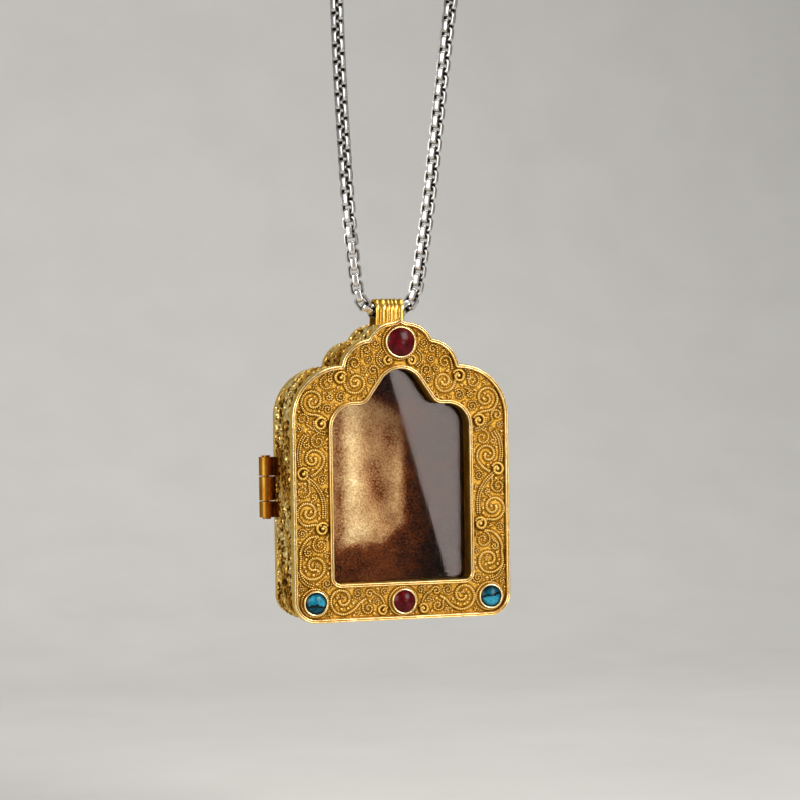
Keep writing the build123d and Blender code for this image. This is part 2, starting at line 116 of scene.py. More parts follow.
def bow(start, end, height, count):
    """Points and outward normals of a circular arc whose middle stands `height` out from its chord.

    Half of the arc's angle is twice the arctangent of height over half the chord. With no height it is a
    straight line.
    """
    start, end = np.array(start, float), np.array(end, float)
    chord = np.linalg.norm(end - start)
    along = (end - start) / chord
    out = np.array((along[1], -along[0]))
    share = np.linspace(-1.0, 1.0, count)[:, None]
    if height == 0.0:
        return (start + end + share * chord * along) / 2, np.repeat(out[None], count, axis=0)
    half = 2.0 * np.arctan(2.0 * height / chord)
    radius = chord / (2.0 * np.sin(half))
    turn = share * half
    points = (start + end) / 2 + radius * (np.sin(turn) * along + (np.cos(turn) - np.cos(half)) * out)
    return points, np.sin(turn) * along + np.cos(turn) * out


def fan(before, after):
    """The cusp between two runs: one point, its normal turned evenly from the first run's to the second's."""
    first = np.arctan2(before[1][-1, 1], before[1][-1, 0])
    last = np.arctan2(after[1][0, 1], after[1][0, 0])
    turn = np.linspace(first, last, FAN_STEPS)[1:-1]
    return np.repeat(before[0][-1:], len(turn), axis=0), np.stack([np.cos(turn), np.sin(turn)], axis=-1)


def tangent_bow(run, rise):
    """Height over its chord of an arc that leaves straight up and ends `run` aside and `rise` above."""
    return np.hypot(run, rise) / 2 * np.tan(np.arctan2(run, rise) / 2)


def closed(right):
    """A right half that starts and ends on the middle line, joined to its mirror image as one loop."""
    return np.concatenate([right, right[-2:0:-1] * (-1, 1)])


shoulder = bow((HALF_WIDTH, SIDE), NOTCH, tangent_bow(HALF_WIDTH - NOTCH[0], NOTCH[1] - SIDE), 90)
lobe = bow(NOTCH, UPPER_NOTCH, LOBE_BOW, 50)
crown = bow(UPPER_NOTCH, TURN, TOP_BOW, TOP_STEPS)
# Each run of the outline ends with its number of points.
arch_runs = [
    bow((0, 0), (HALF_WIDTH - CORNER, 0), 0.0, 80),
    bow((HALF_WIDTH - CORNER, 0), (HALF_WIDTH, CORNER), tangent_bow(CORNER, CORNER), 36),
    bow((HALF_WIDTH, CORNER), (HALF_WIDTH, SIDE), 0.0, 170),
    shoulder,
    fan(shoulder, lobe),
    lobe,
    fan(lobe, crown),
    crown,
    bow(TURN, (0, PEAK), PEAK_BOW, PEAK_STEPS),
]
half_points = np.concatenate([points for points, _ in arch_runs])
half_normals = np.concatenate([normals for _, normals in arch_runs])
arch_normals = closed(half_normals)


def arch_line(inset):
    """The outline with its points moved in by `inset` along their normals; both sides meet at the peak."""
    right = half_points - inset * half_normals
    tip = right[-TOP_STEPS - PEAK_STEPS:]
    peak = np.interp(0.0, tip[::-1, 0], tip[::-1, 1])
    right[:, 1] = np.where(right[:, 0] < 0.0, peak, right[:, 1])
    right[:, 0] = np.maximum(right[:, 0], 0.0)
    return closed(right)


def length_along(line):
    """Distance walked along a line of points, from its first."""
    return np.concatenate([[0.0], np.cumsum(np.linalg.norm(np.diff(line, axis=0), axis=1))])


def quads(rows, columns, close_rows, close_columns):
    """Corner numbers of the four-sided faces of a grid, joined end to end in the directions that close."""
    r = np.arange(rows if close_rows else rows - 1)[:, None]
    c = np.arange(columns if close_columns else columns - 1)[None, :]
    r_next, c_next = (r + 1) % rows, (c + 1) % columns
    corners = (r * columns + c, r * columns + c_next, r_next * columns + c_next, r_next * columns + c)
    return np.stack(np.broadcast_arrays(*corners), axis=-1).reshape(-1, 4)


def stand(name, data):
    """A new object with its data, in the scene."""
    made = bpy.data.objects.new(name, data)
    bpy.context.scene.collection.objects.link(made)
    return made


def piece(name, grids, finish, body):
    """One mesh from grids of points, each (points, worn, close_rows, close_columns), that rides on a body.

    A grid may hold several like grids, stacked in front. Equal points are merged, which closes seams and
    poles, and edges that turn by more than SHARP degrees stay crisp.
    """
    places, rubs, faces, count = [], [], [], 0
    for points, wear_and_shade, close_rows, close_columns in grids:
        rows, columns = points.shape[-3:-1]
        stacked = points.reshape(-1, rows * columns, 3)
        corners = quads(rows, columns, close_rows, close_columns)
        starts = count + np.arange(len(stacked)) * rows * columns
        faces.append((corners[None] + starts[:, None, None]).reshape(-1, 4))
        places.append(stacked.reshape(-1, 3))
        rubs.append(np.broadcast_to(wear_and_shade, points.shape[:-1]).ravel())
        count += stacked.shape[0] * stacked.shape[1]
    faces = np.concatenate(faces)
    mesh = bpy.data.meshes.new(name)
    mesh.vertices.add(count)
    mesh.vertices.foreach_set("co", np.concatenate(places).ravel())
    mesh.loops.add(faces.size)
    mesh.loops.foreach_set("vertex_index", faces.ravel().astype(np.int32))
    mesh.polygons.add(len(faces))
    mesh.polygons.foreach_set("loop_start", np.arange(0, faces.size, 4, dtype=np.int32))
    mesh.attributes.new("wear_and_shade", "FLOAT", "POINT").data.foreach_set("value", np.concatenate(rubs))
    mesh.update(calc_edges=True)
    work = bmesh.new()
    work.from_mesh(mesh)
    bmesh.ops.remove_doubles(work, verts=work.verts, dist=MERGE)
    bmesh.ops.recalc_face_normals(work, faces=work.faces)
    work.to_mesh(mesh)
    work.free()
    mesh.polygons.foreach_set("use_smooth", np.ones(len(mesh.polygons), dtype=bool))
    mesh.set_sharp_from_angle(angle=np.radians(SHARP))
    mesh.materials.append(finish)
    made = stand(name, mesh)
    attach(made, body)
    return made


def feed(made, inputs):
    """Fills a shader node's inputs: each is a plain value, or a socket that is linked to it."""
    for name, value in inputs.items():
        if isinstance(value, bpy.types.NodeSocket):
            made.id_data.links.new(value, made.inputs[name])
        else:
            made.inputs[name].default_value = value


def node(tree, kind, inputs, **settings):
    """Adds a shader node with its settings and fills its inputs."""
    made = tree.nodes.new("ShaderNode" + kind)
    for name, value in settings.items():
        setattr(made, name, value)
    feed(made, inputs)
    return made


def noise(tree, place, scale, detail, roughness):
    """A cloudy pattern through the piece, of `scale` clouds to the metre."""
    inputs = {"Vector": place, "Scale": scale, "Detail": detail, "Roughness": roughness}
    return node(tree, "TexNoise", inputs).outputs["Fac"]


def reckon(tree, operation, *terms, clamp=False):
    """The result of one step of arithmetic on plain values or sockets."""
    return node(tree, "Math", dict(enumerate(terms)), operation=operation, use_clamp=clamp).outputs[0]


def remap(tree, value, low, high, to_low=0.0, to_high=1.0):
    """A value carried evenly from one range into another and held at its ends."""
    inputs = {"Value": value, "From Min": low, "From Max": high, "To Min": to_low, "To Max": to_high}
    return node(tree, "MapRange", inputs).outputs["Result"]


def ramp(tree, factor, stops):
    """A colour that runs through the given stops, (place, colour), as the factor goes from 0 to 1."""
    made = node(tree, "ValToRGB", {"Fac": factor})
    marks = made.color_ramp.elements
    marks[0].position, marks[-1].position = stops[0][0], stops[-1][0]
    marks[0].color, marks[-1].color = (*stops[0][1], 1.0), (*stops[-1][1], 1.0)
    for place, colour in stops[1:-1]:
        marks.new(place).color = (*colour, 1.0)
    return made.outputs["Color"]


def blank(name):
    """A new material with its tree, its surface shader and the piece's own coordinates."""
    made = bpy.data.materials.new(name)
    made.use_nodes = True
    tree = made.node_tree
    return made, tree, tree.nodes["Principled BSDF"], node(tree, "TexCoord", {}).outputs["Object"]


def metal(name, tones, dull, shine, grain, depth, fixed=None, speckle=0.3):
    """Cast or rolled metal: oxide in the hollows, clean metal on the slopes, metal bright with wear on the
    crests.

    Tone = the piece's attribute of wear and shade, or `fixed` all over, or what the function `fixed` makes of
    the place, plus clouds and a `speckle` of grain. On several pieces that attribute, and on the hinge
    `fixed`, also hold painted shade in the hollows and painted light. Roughness falls from `dull` to `shine`
    as the tone rises, and the grain, a noise of `grain` to the metre, stands `depth` high as the bump.
    """
    made, tree, shader, place = blank(name)
    cloud = noise(tree, place, CLOUD_GRAIN, 4.0, 0.6)
    speck = noise(tree, place, grain, 3.0, 0.55)
    wear_and_shade = fixed(tree, place) if callable(fixed) else fixed
    if fixed is None:
        wear_and_shade = node(tree, "Attribute", {}, attribute_name="wear_and_shade").outputs["Fac"]
    clouded = reckon(tree, "MULTIPLY_ADD", cloud, CLOUD_SHARE, -CLOUD_SHARE / 2)
    specked = reckon(tree, "MULTIPLY_ADD", speck, speckle, clouded)
    centred = reckon(tree, "ADD", specked, -speckle / 2)
    tone = reckon(tree, "ADD", centred, wear_and_shade, clamp=True)
    feed(shader, {
        "Base Color": ramp(tree, tone, tones),
        "Roughness": remap(tree, tone, 0.0, 1.0, dull, shine),
        "Normal": node(tree, "Bump", {"Height": speck, "Distance": depth, "Strength": 1.0}).outputs["Normal"],
        "Metallic": 1.0,
        "Specular Tint": (*tones[-1][1], 1.0),
    })
    return made


def dress(name, finish):
    """Gives a CAD node, whose shape is already right, the finish in place of its plain one."""
    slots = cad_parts[name].data.materials
    slots.clear()
    slots.append(finish)


chased_gold = metal("chased_gold", WALL_TONES, dull=0.6, shine=0.38, grain=2200.0, depth=0.00005)
plain_gold = metal("plain_gold", GOLD_TONES, dull=0.42, shine=0.3, grain=1400.0, depth=0.00002, fixed=0.6)
wall_line = arch_line(WALL_INSET)
walked = length_along(wall_line)
round_trip = 2 * np.pi * walked / (walked[-1] + np.linalg.norm(wall_line[-1] - wall_line[0]))
wall_depth = np.linspace(*WALL_SPAN, WALL_ROWS)[:, None]
strands = np.random.default_rng(4)


def bark(fewest, most, lean):
    """Waves at random, added up: each goes a whole number of times round the strip and leans across it."""
    rounds = strands.integers(fewest, most, CHASING_WAVES)[:, None, None]
    slants = strands.uniform(-lean, lean, CHASING_WAVES)[:, None, None]
    phases = strands.uniform(0.0, 2 * np.pi, CHASING_WAVES)[:, None, None]
    return np.cos(rounds * round_trip + slants * wall_depth + phases).sum(axis=0) / np.sqrt(CHASING_WAVES / 2)


waves = bark(*BROAD_STRANDS) + FINE_SHARE * bark(*FINE_STRANDS)
chasing = np.clip(1.0 - STRAND_EDGE * np.abs(waves), 0.0, 1.0)
raised = wall_line + CHASING_HEIGHT * chasing[..., None] * arch_normals
wall_front = row(raised[..., 0], wall_depth, raised[..., 1])
heart_line = arch_line(WALL_INSET + WALL_HEART)
wall_back = row(heart_line[:, 0], np.array(WALL_SPAN[::-1])[:, None], heart_line[:, 1])
# Oxide lies in patches: two slow waves round the strip, the second leaning across it.
oxide = 0.5 + 0.25 * np.sin(7 * round_trip + 1.0) + 0.25 * np.sin(17 * round_trip + 0.7 * wall_depth)
wall_rub = (CLEAN_RUB - OXIDE_RUB * oxide) * chasing ** 0.95
wall_grid = np.concatenate([wall_front, wall_back])
wall_worn = np.concatenate([wall_rub, 0 * wall_rub[:2]])
piece("side_wall_chasing", [(wall_grid, wall_worn, True, True)], chased_gold, "case")
dress("case_band", plain_gold)


# Edge wires: half-round wires soldered round both edges of the side wall, the front one close behind the rim.
# Gilt, rubbed bright along their crowns.
WIRE_PROUD = 0.3
WIRE_RUB = 0.88
wire_turn = np.linspace(0.0, np.pi, 11)
wire_rub = 0.1 + WIRE_RUB * np.sin(wire_turn)[:, None] ** 0.7


def wire_profile(front, back):
    """Half a round: the inset falls from the wall by a sine, and the depth goes back by a cosine."""
    depths = (front + back) / 2 - (back - front) / 2 * np.cos(wire_turn)
    return WALL_INSET - WIRE_PROUD * np.sin(wire_turn), depths


def carry(outline, moves, depths):
    """A profile carried round an outline: each row of the grid is the outline, moved and set at a depth."""
    lines = [outline(move) for move in moves]
    return np.stack([row(line[:, 0], depth, line[:, 1]) for line, depth in zip(lines, depths)])


rubbed_gold = metal("rubbed_gold", GOLD_TONES, dull=0.44, shine=0.26, grain=1500.0, depth=0.000012)
for wire in ("front_edge_wire", "back_edge_wire"):
    low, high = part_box(wire)
    insets, depths = wire_profile((low[1] - rim_low[1]) / MM, (high[1] - rim_low[1]) / MM)
    wire_grid = carry(arch_line, insets, depths)
    made = piece(wire + "_round", [(wire_grid, wire_rub, True, True)], rubbed_gold, "case")
    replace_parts(made, wire)


# Rim: the raised lip along the front edge, two stout wires side by side, soldered to the plate and
# hammered a little. Gilt, pale along both crests, with painted shade in the groove between them and on
# the flank that faces the panel.
RIM_WIDTH = 0.8
RIM_GROOVE = 0.2
GROOVE_HALF = 0.1
PANEL = (rim_high[1] - rim_low[1]) / MM
HAMMER = 0.02
HAMMER_MARKS = ((2.1, 0.3), (3.7, 1.9), (0.83, 4.0))
RIM_FOOT_RUB = 0.36
RIM_CREST_RUB = 0.68
PANEL_SIDE = 2.6
PANEL_SIDE_SHADE = 0.2
GROOVE_SHADE = 0.7
HAMMER_RUB = 0.08


def bell(distance, width):
    """One in the middle, falling as the exponential of minus the square of distance over width."""
    return np.exp(-(distance / width) ** 2)


rim_walk = length_along(arch_line(0.0))
hammered = sum(np.sin(rim_walk * rate + phase) for rate, phase in HAMMER_MARKS) / len(HAMMER_MARKS)
rim_turn = np.linspace(0.0, np.pi, 27)
rim_inset = RIM_WIDTH / 2 - RIM_WIDTH / 2 * np.cos(rim_turn)
between_wires = bell(rim_inset - RIM_WIDTH / 2, GROOVE_HALF)
rim_depth = PANEL - (PANEL - 2 * HAMMER) * np.sin(rim_turn) ** 0.6 + RIM_GROOVE * between_wires
rim_grid = carry(arch_line, rim_inset, rim_depth)
rim_grid[..., 1] += HAMMER * MM * hammered * np.sin(rim_turn)[:, None]
rim_rub_and_shade = RIM_FOOT_RUB + RIM_CREST_RUB * np.sin(rim_turn) ** 0.5
# The flank that faces the panel and the groove between the wires are darkened: painted shade.
rim_rub_and_shade = rim_rub_and_shade - PANEL_SIDE_SHADE * (rim_turn > PANEL_SIDE) - GROOVE_SHADE * between_wires
rim_grid_tone = rim_rub_and_shade[:, None] + HAMMER_RUB * hammered
rim = piece("rim", [(rim_grid, rim_grid_tone, True, True)], rubbed_gold, "case")
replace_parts(rim, "outer_rim")
dress("front_plate", plain_gold)


# Window lip: the strip that lines the window, its front edge folded to two bright beads with a groove
# between. Gilt; the beads' rounded edges and the groove are painted darker as shade, and the strip runs back
# to the pane with painted shade that deepens with depth.
WINDOW_HALF = 12.85
SILL = 6.4
FOOT_R = 1.5
WINDOW_TOP = 38.2
SHOULDER_R = 4.3
THROAT_X = 6.6
THROAT_R = 1.9
ARCH_R = 4.4
ARCH_TOP = 44.45
LIP_HALF = 0.35
LIP_CREST = 0.27
LIP_GROOVE = 0.2
LIP_ROUND = 0.3
FOLD_HALF = 0.09
STRIP_FRONT = 0.8
STRIP_ROWS = 7
LIP_RUB = 0.98
STRIP_SHADE = (0.45, 0.2)
crown_drop = ARCH_TOP - ARCH_R - WINDOW_TOP
lean = np.arccos(ARCH_R / np.hypot(THROAT_X, crown_drop)) - np.arctan2(crown_drop, THROAT_X)
half_turn = np.pi / 4 - lean / 2
throat = THROAT_R * np.tan(half_turn)
flank_foot = (THROAT_X - throat * np.sin(lean), WINDOW_TOP + throat * np.cos(lean))
flank_top = (ARCH_R * np.cos(lean), ARCH_TOP - ARCH_R + ARCH_R * np.sin(lean))
window_runs = [
    bow((0, SILL), (WINDOW_HALF - FOOT_R, SILL), 0.0, 40),
    bow((WINDOW_HALF - FOOT_R, SILL), (WINDOW_HALF, SILL + FOOT_R), tangent_bow(FOOT_R, FOOT_R), 14),
    bow((WINDOW_HALF, SILL + FOOT_R), (WINDOW_HALF, WINDOW_TOP - SHOULDER_R), 0.0, 90),
    bow((WINDOW_HALF, WINDOW_TOP - SHOULDER_R), (WINDOW_HALF - SHOULDER_R, WINDOW_TOP),
        tangent_bow(SHOULDER_R, SHOULDER_R), 22),
    bow((WINDOW_HALF - SHOULDER_R, WINDOW_TOP), (THROAT_X + throat, WINDOW_TOP), 0.0, 10),
    bow((THROAT_X + throat, WINDOW_TOP), flank_foot, THROAT_R * (np.cos(half_turn) - 1.0), 16),
    bow(flank_foot, flank_top, 0.0, 16),
    bow(flank_top, (0, ARCH_TOP), ARCH_R * (1.0 - np.cos(half_turn)), 40),
]
window_points = closed(np.concatenate([points for points, _ in window_runs]))
window_normals = closed(np.concatenate([normals for _, normals in window_runs]))


def window_line(growth):
    """The window's outline with every point moved out along its normal."""
    return window_points + growth * window_normals


collar_back = (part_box("window_collar")[1][1] - rim_low[1]) / MM
across = np.linspace(LIP_HALF, -LIP_HALF, 19)
lip_fold = bell(across, FOLD_HALF)
lip_round = (np.abs(across) / LIP_HALF) ** 4
lip_depth = LIP_CREST + LIP_ROUND * lip_round + LIP_GROOVE * lip_fold
strip_depth = np.linspace(STRIP_FRONT, collar_back, STRIP_ROWS)
lip_growth = np.concatenate([across, np.full(STRIP_ROWS, -LIP_HALF), [LIP_HALF, LIP_HALF]])
lip_depths = np.concatenate([lip_depth, strip_depth, [collar_back, PANEL]])
strip_shade = np.linspace(*STRIP_SHADE, STRIP_ROWS)
# Bright on the beads, with painted shade on their turned edges, in the groove and down the strip.
lip_rub_and_shade = np.concatenate([LIP_RUB - 0.4 * lip_round - GROOVE_SHADE * lip_fold, strip_shade, strip_shade[[-1, -1]]])
lip_grid = carry(window_line, lip_growth, lip_depths)
window_lip = piece("window_lip", [(lip_grid, lip_rub_and_shade[:, None], True, True)], rubbed_gold, "case")
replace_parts(window_lip, "window_collar")
dress("pane_retainer", plain_gold)


# Pane: a flat clear pane seated on the back of the strip and held by the tray-shaped frame behind it.
# Glass with a faint warm tint; lamps shine straight through it to the back of the box.
PANE_TINT = (0.97, 0.96, 0.93, 1.0)
pane_glass, tree, shader, place = blank("pane_glass")
feed(shader, {"Base Color": PANE_TINT, "Roughness": 0.02, "IOR": 1.25, "Transmission Weight": 1.0})
lamp_light = node(tree, "LightPath", {}).outputs["Is Shadow Ray"]
clear = node(tree, "BsdfTransparent", {"Color": PANE_TINT}).outputs["BSDF"]
seen = node(tree, "MixShader", {0: lamp_light, 1: shader.outputs["BSDF"], 2: clear}).outputs["Shader"]
feed(tree.nodes["Material Output"], {"Surface": seen})
dress("window_pane", pane_glass)


# Scrollwork: milled wire, ribbed across like a cord, wound into scrolls and fused to the plate.
# Gilt, the ribs rubbed bright on their crests with painted shade low on their slopes; the ground between
# is stippled sheet with granules, painted brown as shade where it runs up to the wires and other raised
# parts.
BAND_HALF = 0.35
STEM_HALF = 0.22
FINE_HALF = 0.24
CURL_HALF = 0.18
RIB_PITCH = 0.34
RIB_HALF = 0.56 * RIB_PITCH
RIB_HEIGHT = 0.4
SWELL_RISE = [-90.0, -8.0, 42.0, 90.0]
SWELL_RUB_AND_SHADE = (0.24, 0.64)
EYE_R = 0.32
EYE_LIFT = 0.14
LINE_STEP = 0.12
CURVE_STEPS = 14
COIL_STEP = 40.0
COIL_END = 0.2
# Scrolls of the left half: eye, radius, first bearing, sweep, and the stem before it.
GREAT_SCROLLS = [
    ((-17.0, 19.3), 2.45, -60.0, -500.0, [(-14.8, 17.0)]),
    ((-16.05, 9.95), 2.8, 150.0, 490.0, [(-15.4, 15.2), (-16.8, 14.9), (-18.0, 13.7), (-18.55, 12.4)]),
    ((-15.9, 38.7), 2.5, -75.0, -520.0, [(-14.4, 36.0)]),
    ((-8.1, 41.8), 2.1, 180.0, 520.0, [(-10.5, 43.6), (-10.4, 42.6)]),
    ((-11.1, 3.9), 2.75, -40.0, -480.0, [(-6.9, 3.9), (-7.9, 3.3)]),
    ((-16.0, 28.6), 2.2, -60.0, 440.0, [(-16.3, 25.7), (-15.6, 26.1)]),
]
SMALL_SCROLLS = [
    ((-17.9, 23.1), 1.35, 40.0, -480.0, [(-16.9, 25.0), (-16.75, 24.4)]),
    ((-16.0, 22.1), 0.6, -90.0, 400.0, [(-16.4, 21.2)]),
    ((-14.95, 13.6), 1.4, 130.0, 450.0, [(-15.3, 15.0)]),
    ((-17.1, 12.4), 0.75, 120.0, 450.0, [(-16.9, 13.4)]),
    ((-15.1, 31.7), 1.3, 110.0, 450.0, [(-15.2, 33.0)]),
    ((-17.05, 31.1), 0.7, 100.0, 400.0, [(-16.9, 32.4)]),
    ((-17.8, 35.65), 1.15, -50.0, 440.0, [(-15.9, 33.8), (-16.5, 34.3)]),
    ((-13.4, 41.8), 1.2, 150.0, 450.0, [(-13.9, 43.0)]),
    ((-13.0, 39.4), 0.7, 90.0, -450.0, [(-12.0, 40.6)]),
    ((-4.9, 43.9), 0.95, 10.0, 450.0, [(-3.9, 42.7)]),
    ((-8.3, 45.2), 1.25, 190.0, -480.0, [(-9.6, 44.0)]),
    ((-6.1, 47.5), 0.9, 200.0, -450.0, [(-6.9, 46.3)]),
    ((-6.1, 4.85), 0.85, 10.0, 450.0, [(-3.5, 3.1), (-4.1, 4.2), (-5.0, 4.8)]),
    ((-6.4, 2.3), 1.1, 150.0, 450.0, [(-7.6, 3.3)]),
]
STEMS = [
    [(-17.2, 25.4), (-15.8, 24.2), (-14.6, 22.4), (-14.15, 20.4), (-14.2, 18.4)],
    [(-17.5, 32.8), (-18.2, 31.6), (-18.55, 30.2), (-18.6, 28.7), (-18.4, 27.5)],
    [(-15.6, 35.2), (-15.5, 34.2), (-14.8, 33.4), (-13.9, 33.1)],
    [(-3.2, 47.3), (-3.95, 46.4), (-3.9, 45.4), (-3.1, 44.6)],
    [(-12.3, 43.9), (-12.8, 43.2), (-12.7, 42.2)],
    [(-18.75, 9.0), (-18.3, 7.8), (-17.4, 6.9), (-16.4, 6.5)],
]


def curve(points):
    """A smooth line through given points: cubic pieces, each point's slope along its two neighbours."""
    points = np.array(points, float)
    padded = np.concatenate([2 * points[:1] - points[1:2], points, 2 * points[-1:] - points[-2:-1]])
    a, b, c, d = padded[:-3], padded[1:-2], padded[2:-1], padded[3:]
    t = np.linspace(0.0, 1.0, CURVE_STEPS, endpoint=False)[:, None, None]
    bends = 2 * b + (c - a) * t + (2 * a - 5 * b + 4 * c - d) * t ** 2 + (3 * b - a - 3 * c + d) * t ** 3
    return np.concatenate([bends.transpose(1, 0, 2).reshape(-1, 2) / 2, points[-1:]])


def read_off(marks, walk, values):
    """Values known along a walk, read off at marks, column by column."""
    return np.stack([np.interp(marks, walk, column) for column in values.T], axis=-1)


def even(line, step):
    """The same line with its points an even step apart."""
    walk = length_along(line)
    return read_off(np.linspace(0.0, walk[-1], max(4, round(walk[-1] / step))), walk, line)


def scroll(eye, radius, start, sweep, stem):
    """A stem that winds into an eye: from its start the radius falls evenly with the angle to a fifth."""
    angle = np.radians(start + np.linspace(0.0, sweep, round(abs(sweep) / COIL_STEP)))
    reach = np.linspace(radius, COIL_END * radius, len(angle))
    coil = np.stack([eye[0] + reach * np.cos(angle), eye[1] + reach * np.sin(angle)], axis=-1)
    return even(curve(np.concatenate([np.array(stem).reshape(-1, 2), coil])), LINE_STEP)


def across_line(line):
    """Unit vectors across a line on the panel, to the right of the way it runs."""
    slope = np.gradient(line, axis=0)
    slope /= np.linalg.norm(slope, axis=1, keepdims=True)
    return np.stack([slope[:, 1], -slope[:, 0]], axis=-1)


def circle(count):
    """Even steps once round a circle, in radians."""
    return np.linspace(0.0, 2 * np.pi, count, endpoint=False)


def swells(places, way, length, width, height, lift):
    """Eight-sided swells on the panel, ellipsoids of the given half sizes with their middles `lift` above it.

    The length lies along the way, a unit vector for each place, and the width lies across it.
    """
    around = circle(8)
    rise = np.radians(SWELL_RISE)[:, None]
    length, width, height, lift = (np.reshape(size, (-1, 1, 1)) for size in (length, width, height, lift))
    forth, aside = length * np.cos(rise) * np.cos(around), width * np.cos(rise) * np.sin(around)
    (x, z), (way_x, way_z) = places.T[..., None, None], way.T[..., None, None]
    deep = PANEL - lift - height * np.sin(rise) + 0 * around
    grid = row(x + forth * way_x + aside * way_z, deep, z + forth * way_z - aside * way_x)
    # Rubbed bright on the crest, and painted darker low down towards the panel as shade.
    rub_and_shade = SWELL_RUB_AND_SHADE[0] + SWELL_RUB_AND_SHADE[1] * np.sin(rise)
    return grid, np.broadcast_to(rub_and_shade, grid.shape[-3:-1]), False, True


def beads(x, z, radius, lift=0.0):
    """Round beads on the panel."""
    return swells(np.stack([x, z], axis=-1), np.array([[1.0, 0.0]]), radius, radius, radius, lift)


def milled(line, half, shift=0.0, lift=(0.0, 0.0)):
    """A ribbed wire, `shift` beside a line and rising from the first lift to the last: ribs that overlap."""
    places = even(line + shift * across_line(line), RIB_PITCH)
    side = across_line(places)
    way = np.stack([-side[:, 1], side[:, 0]], axis=-1)
    return swells(places, way, RIB_HALF, half, RIB_HEIGHT, np.linspace(*lift, len(places)))


def both_sides(line):
    """A line of the left half and its mirror image on the right."""
    return [line, line * (-1, 1)]


beaded_gold = metal("beaded_gold", GOLD_TONES, dull=0.45, shine=0.28, grain=1500.0, depth=0.00002)
great_lines = [half for entry in GREAT_SCROLLS for half in both_sides(scroll(*entry))]
small_lines = [half for entry in SMALL_SCROLLS for half in both_sides(scroll(*entry))]
stem_lines = [half for points in STEMS for half in both_sides(even(curve(points), LINE_STEP))]
eyes = np.array([line[-1] for line in great_lines])
wires = [milled(line, BAND_HALF) for line in great_lines] + [milled(line, FINE_HALF) for line in small_lines]
wires += [milled(line, STEM_HALF, shift) for line in stem_lines for shift in (-STEM_HALF, STEM_HALF)]
wires.append(beads(eyes[:, 0], eyes[:, 1], EYE_R, EYE_LIFT))
piece("scrollwork", wires, beaded_gold, "case")
wire_lines = [(line, BAND_HALF) for line in great_lines] + [(line, FINE_HALF) for line in small_lines]
wire_lines += [(line, 2 * STEM_HALF) for line in stem_lines]

GROUND_MIDDLE = 24.0
GROUND_AROUND = 900
GROUND_ACROSS = 30
GROUND_LIFT = 0.02
SHADE_REACH = 0.3
GROUND_SHADE_TONES = (0.1, 0.36)
TUCK = 0.1


def polar(line):
    """Bearing and distance of a loop's points from the middle of the panel, in order of bearing."""
    bearing = np.arctan2(line[:, 1] - GROUND_MIDDLE, line[:, 0])
    order = np.argsort(bearing)
    return bearing[order], np.hypot(line[:, 0], line[:, 1] - GROUND_MIDDLE)[order]


def span(bearing):
    """Distance from the panel's middle to the ground's two edges, tucked under the lip and the rim."""
    edges = []
    for line in (window_line(LIP_HALF - TUCK), arch_line(RIM_WIDTH - TUCK)):
        angle, distance = polar(line)
        edges.append(np.interp(bearing, angle, distance, period=2 * np.pi))
    return edges


CURL_MOST = 1.15
CURL_LEAST = 0.3
CURL_GAP = 0.1
CURL_SWEEP = 330.0
SEARCH_STEP = 0.16
PANEL_HALF = 19.0
PANEL_SPAN = (1.0, 52.0)
SNAIL_ROOM = 1.3
# Stones and volutes: radius, then place across and up. Volutes have a twin on the left.
STONES = {
    "ruby_top": (2.45, 0.0, 48.8),
    "ruby_bottom": (1.93, 0.0, 3.3),
    "turquoise_left": (1.87, -16.05, 3.55),
    "turquoise_right": (1.87, 16.05, 3.55),
}
COLLAR_WALL = 0.28
RING_HALF = 0.28
VOLUTES = [
    (1.02, 10.8, 42.76), (1.02, 14.49, 34.8), (1.02, 17.81, 26.1), (1.02, 14.49, 16.5),
    (0.8, 3.7, 1.87), (0.8, 2.1, 45.65),
]


def clear_room(x, z, lines):
    """Free distance on the panel from points to the lip, rim, stones, volutes and the given lines."""
    far = np.hypot(x, z - GROUND_MIDDLE)
    near_edge, far_edge = span(np.arctan2(z - GROUND_MIDDLE, x))
    room = np.minimum(far - near_edge, far_edge - far)
    rounds = [(x, z, r + COLLAR_WALL + 2 * RING_HALF) for r, x, z in STONES.values()]
    rounds += [(side * x, z, SNAIL_ROOM * r) for r, x, z in VOLUTES for side in (-1, 1)]
    for round_x, round_z, radius in rounds:
        room = np.minimum(room, np.hypot(x - round_x, z - round_z) - radius)
    for line, half in lines:
        apart = np.hypot(x[..., None] - line[::3, 0], z[..., None] - line[::3, 1]).min(axis=-1)
        room = np.minimum(room, apart - half)
    return room


seeded = np.random.default_rng(11)
free_x, free_z = np.meshgrid(np.arange(-PANEL_HALF, 0.0, SEARCH_STEP), np.arange(*PANEL_SPAN, SEARCH_STEP))
free = np.minimum(clear_room(free_x, free_z, wire_lines), -free_x)
curls = []
while free.max() > CURL_LEAST + CURL_GAP:
    spot = np.unravel_index(free.argmax(), free.shape)
    outside = min(free[spot] - CURL_GAP, CURL_MOST)
    eye = (free_x[spot], free_z[spot])
    way = 1 - len(curls) % 4
    start = seeded.uniform(0.0, 360.0)
    coil = scroll(eye, outside - CURL_HALF, start, way * CURL_SWEEP * (0.6 + outside), [])
    curls += both_sides(coil)
    free = np.minimum(free, np.hypot(free_x - eye[0], free_z - eye[1]) - outside)
piece("curls", [milled(line, CURL_HALF) for line in curls], beaded_gold, "case")
wire_lines += [(line, CURL_HALF) for line in curls]

bearing = np.linspace(-np.pi, np.pi, GROUND_AROUND, endpoint=False)
near_edge, far_edge = span(bearing)
part_way = np.linspace(0.0, 1.0, GROUND_ACROSS)[:, None]
distance = near_edge + (far_edge - near_edge) * part_way
ground_x = distance * np.cos(bearing)
ground_z = GROUND_MIDDLE + distance * np.sin(bearing)
clearance = clear_room(ground_x, ground_z, wire_lines)
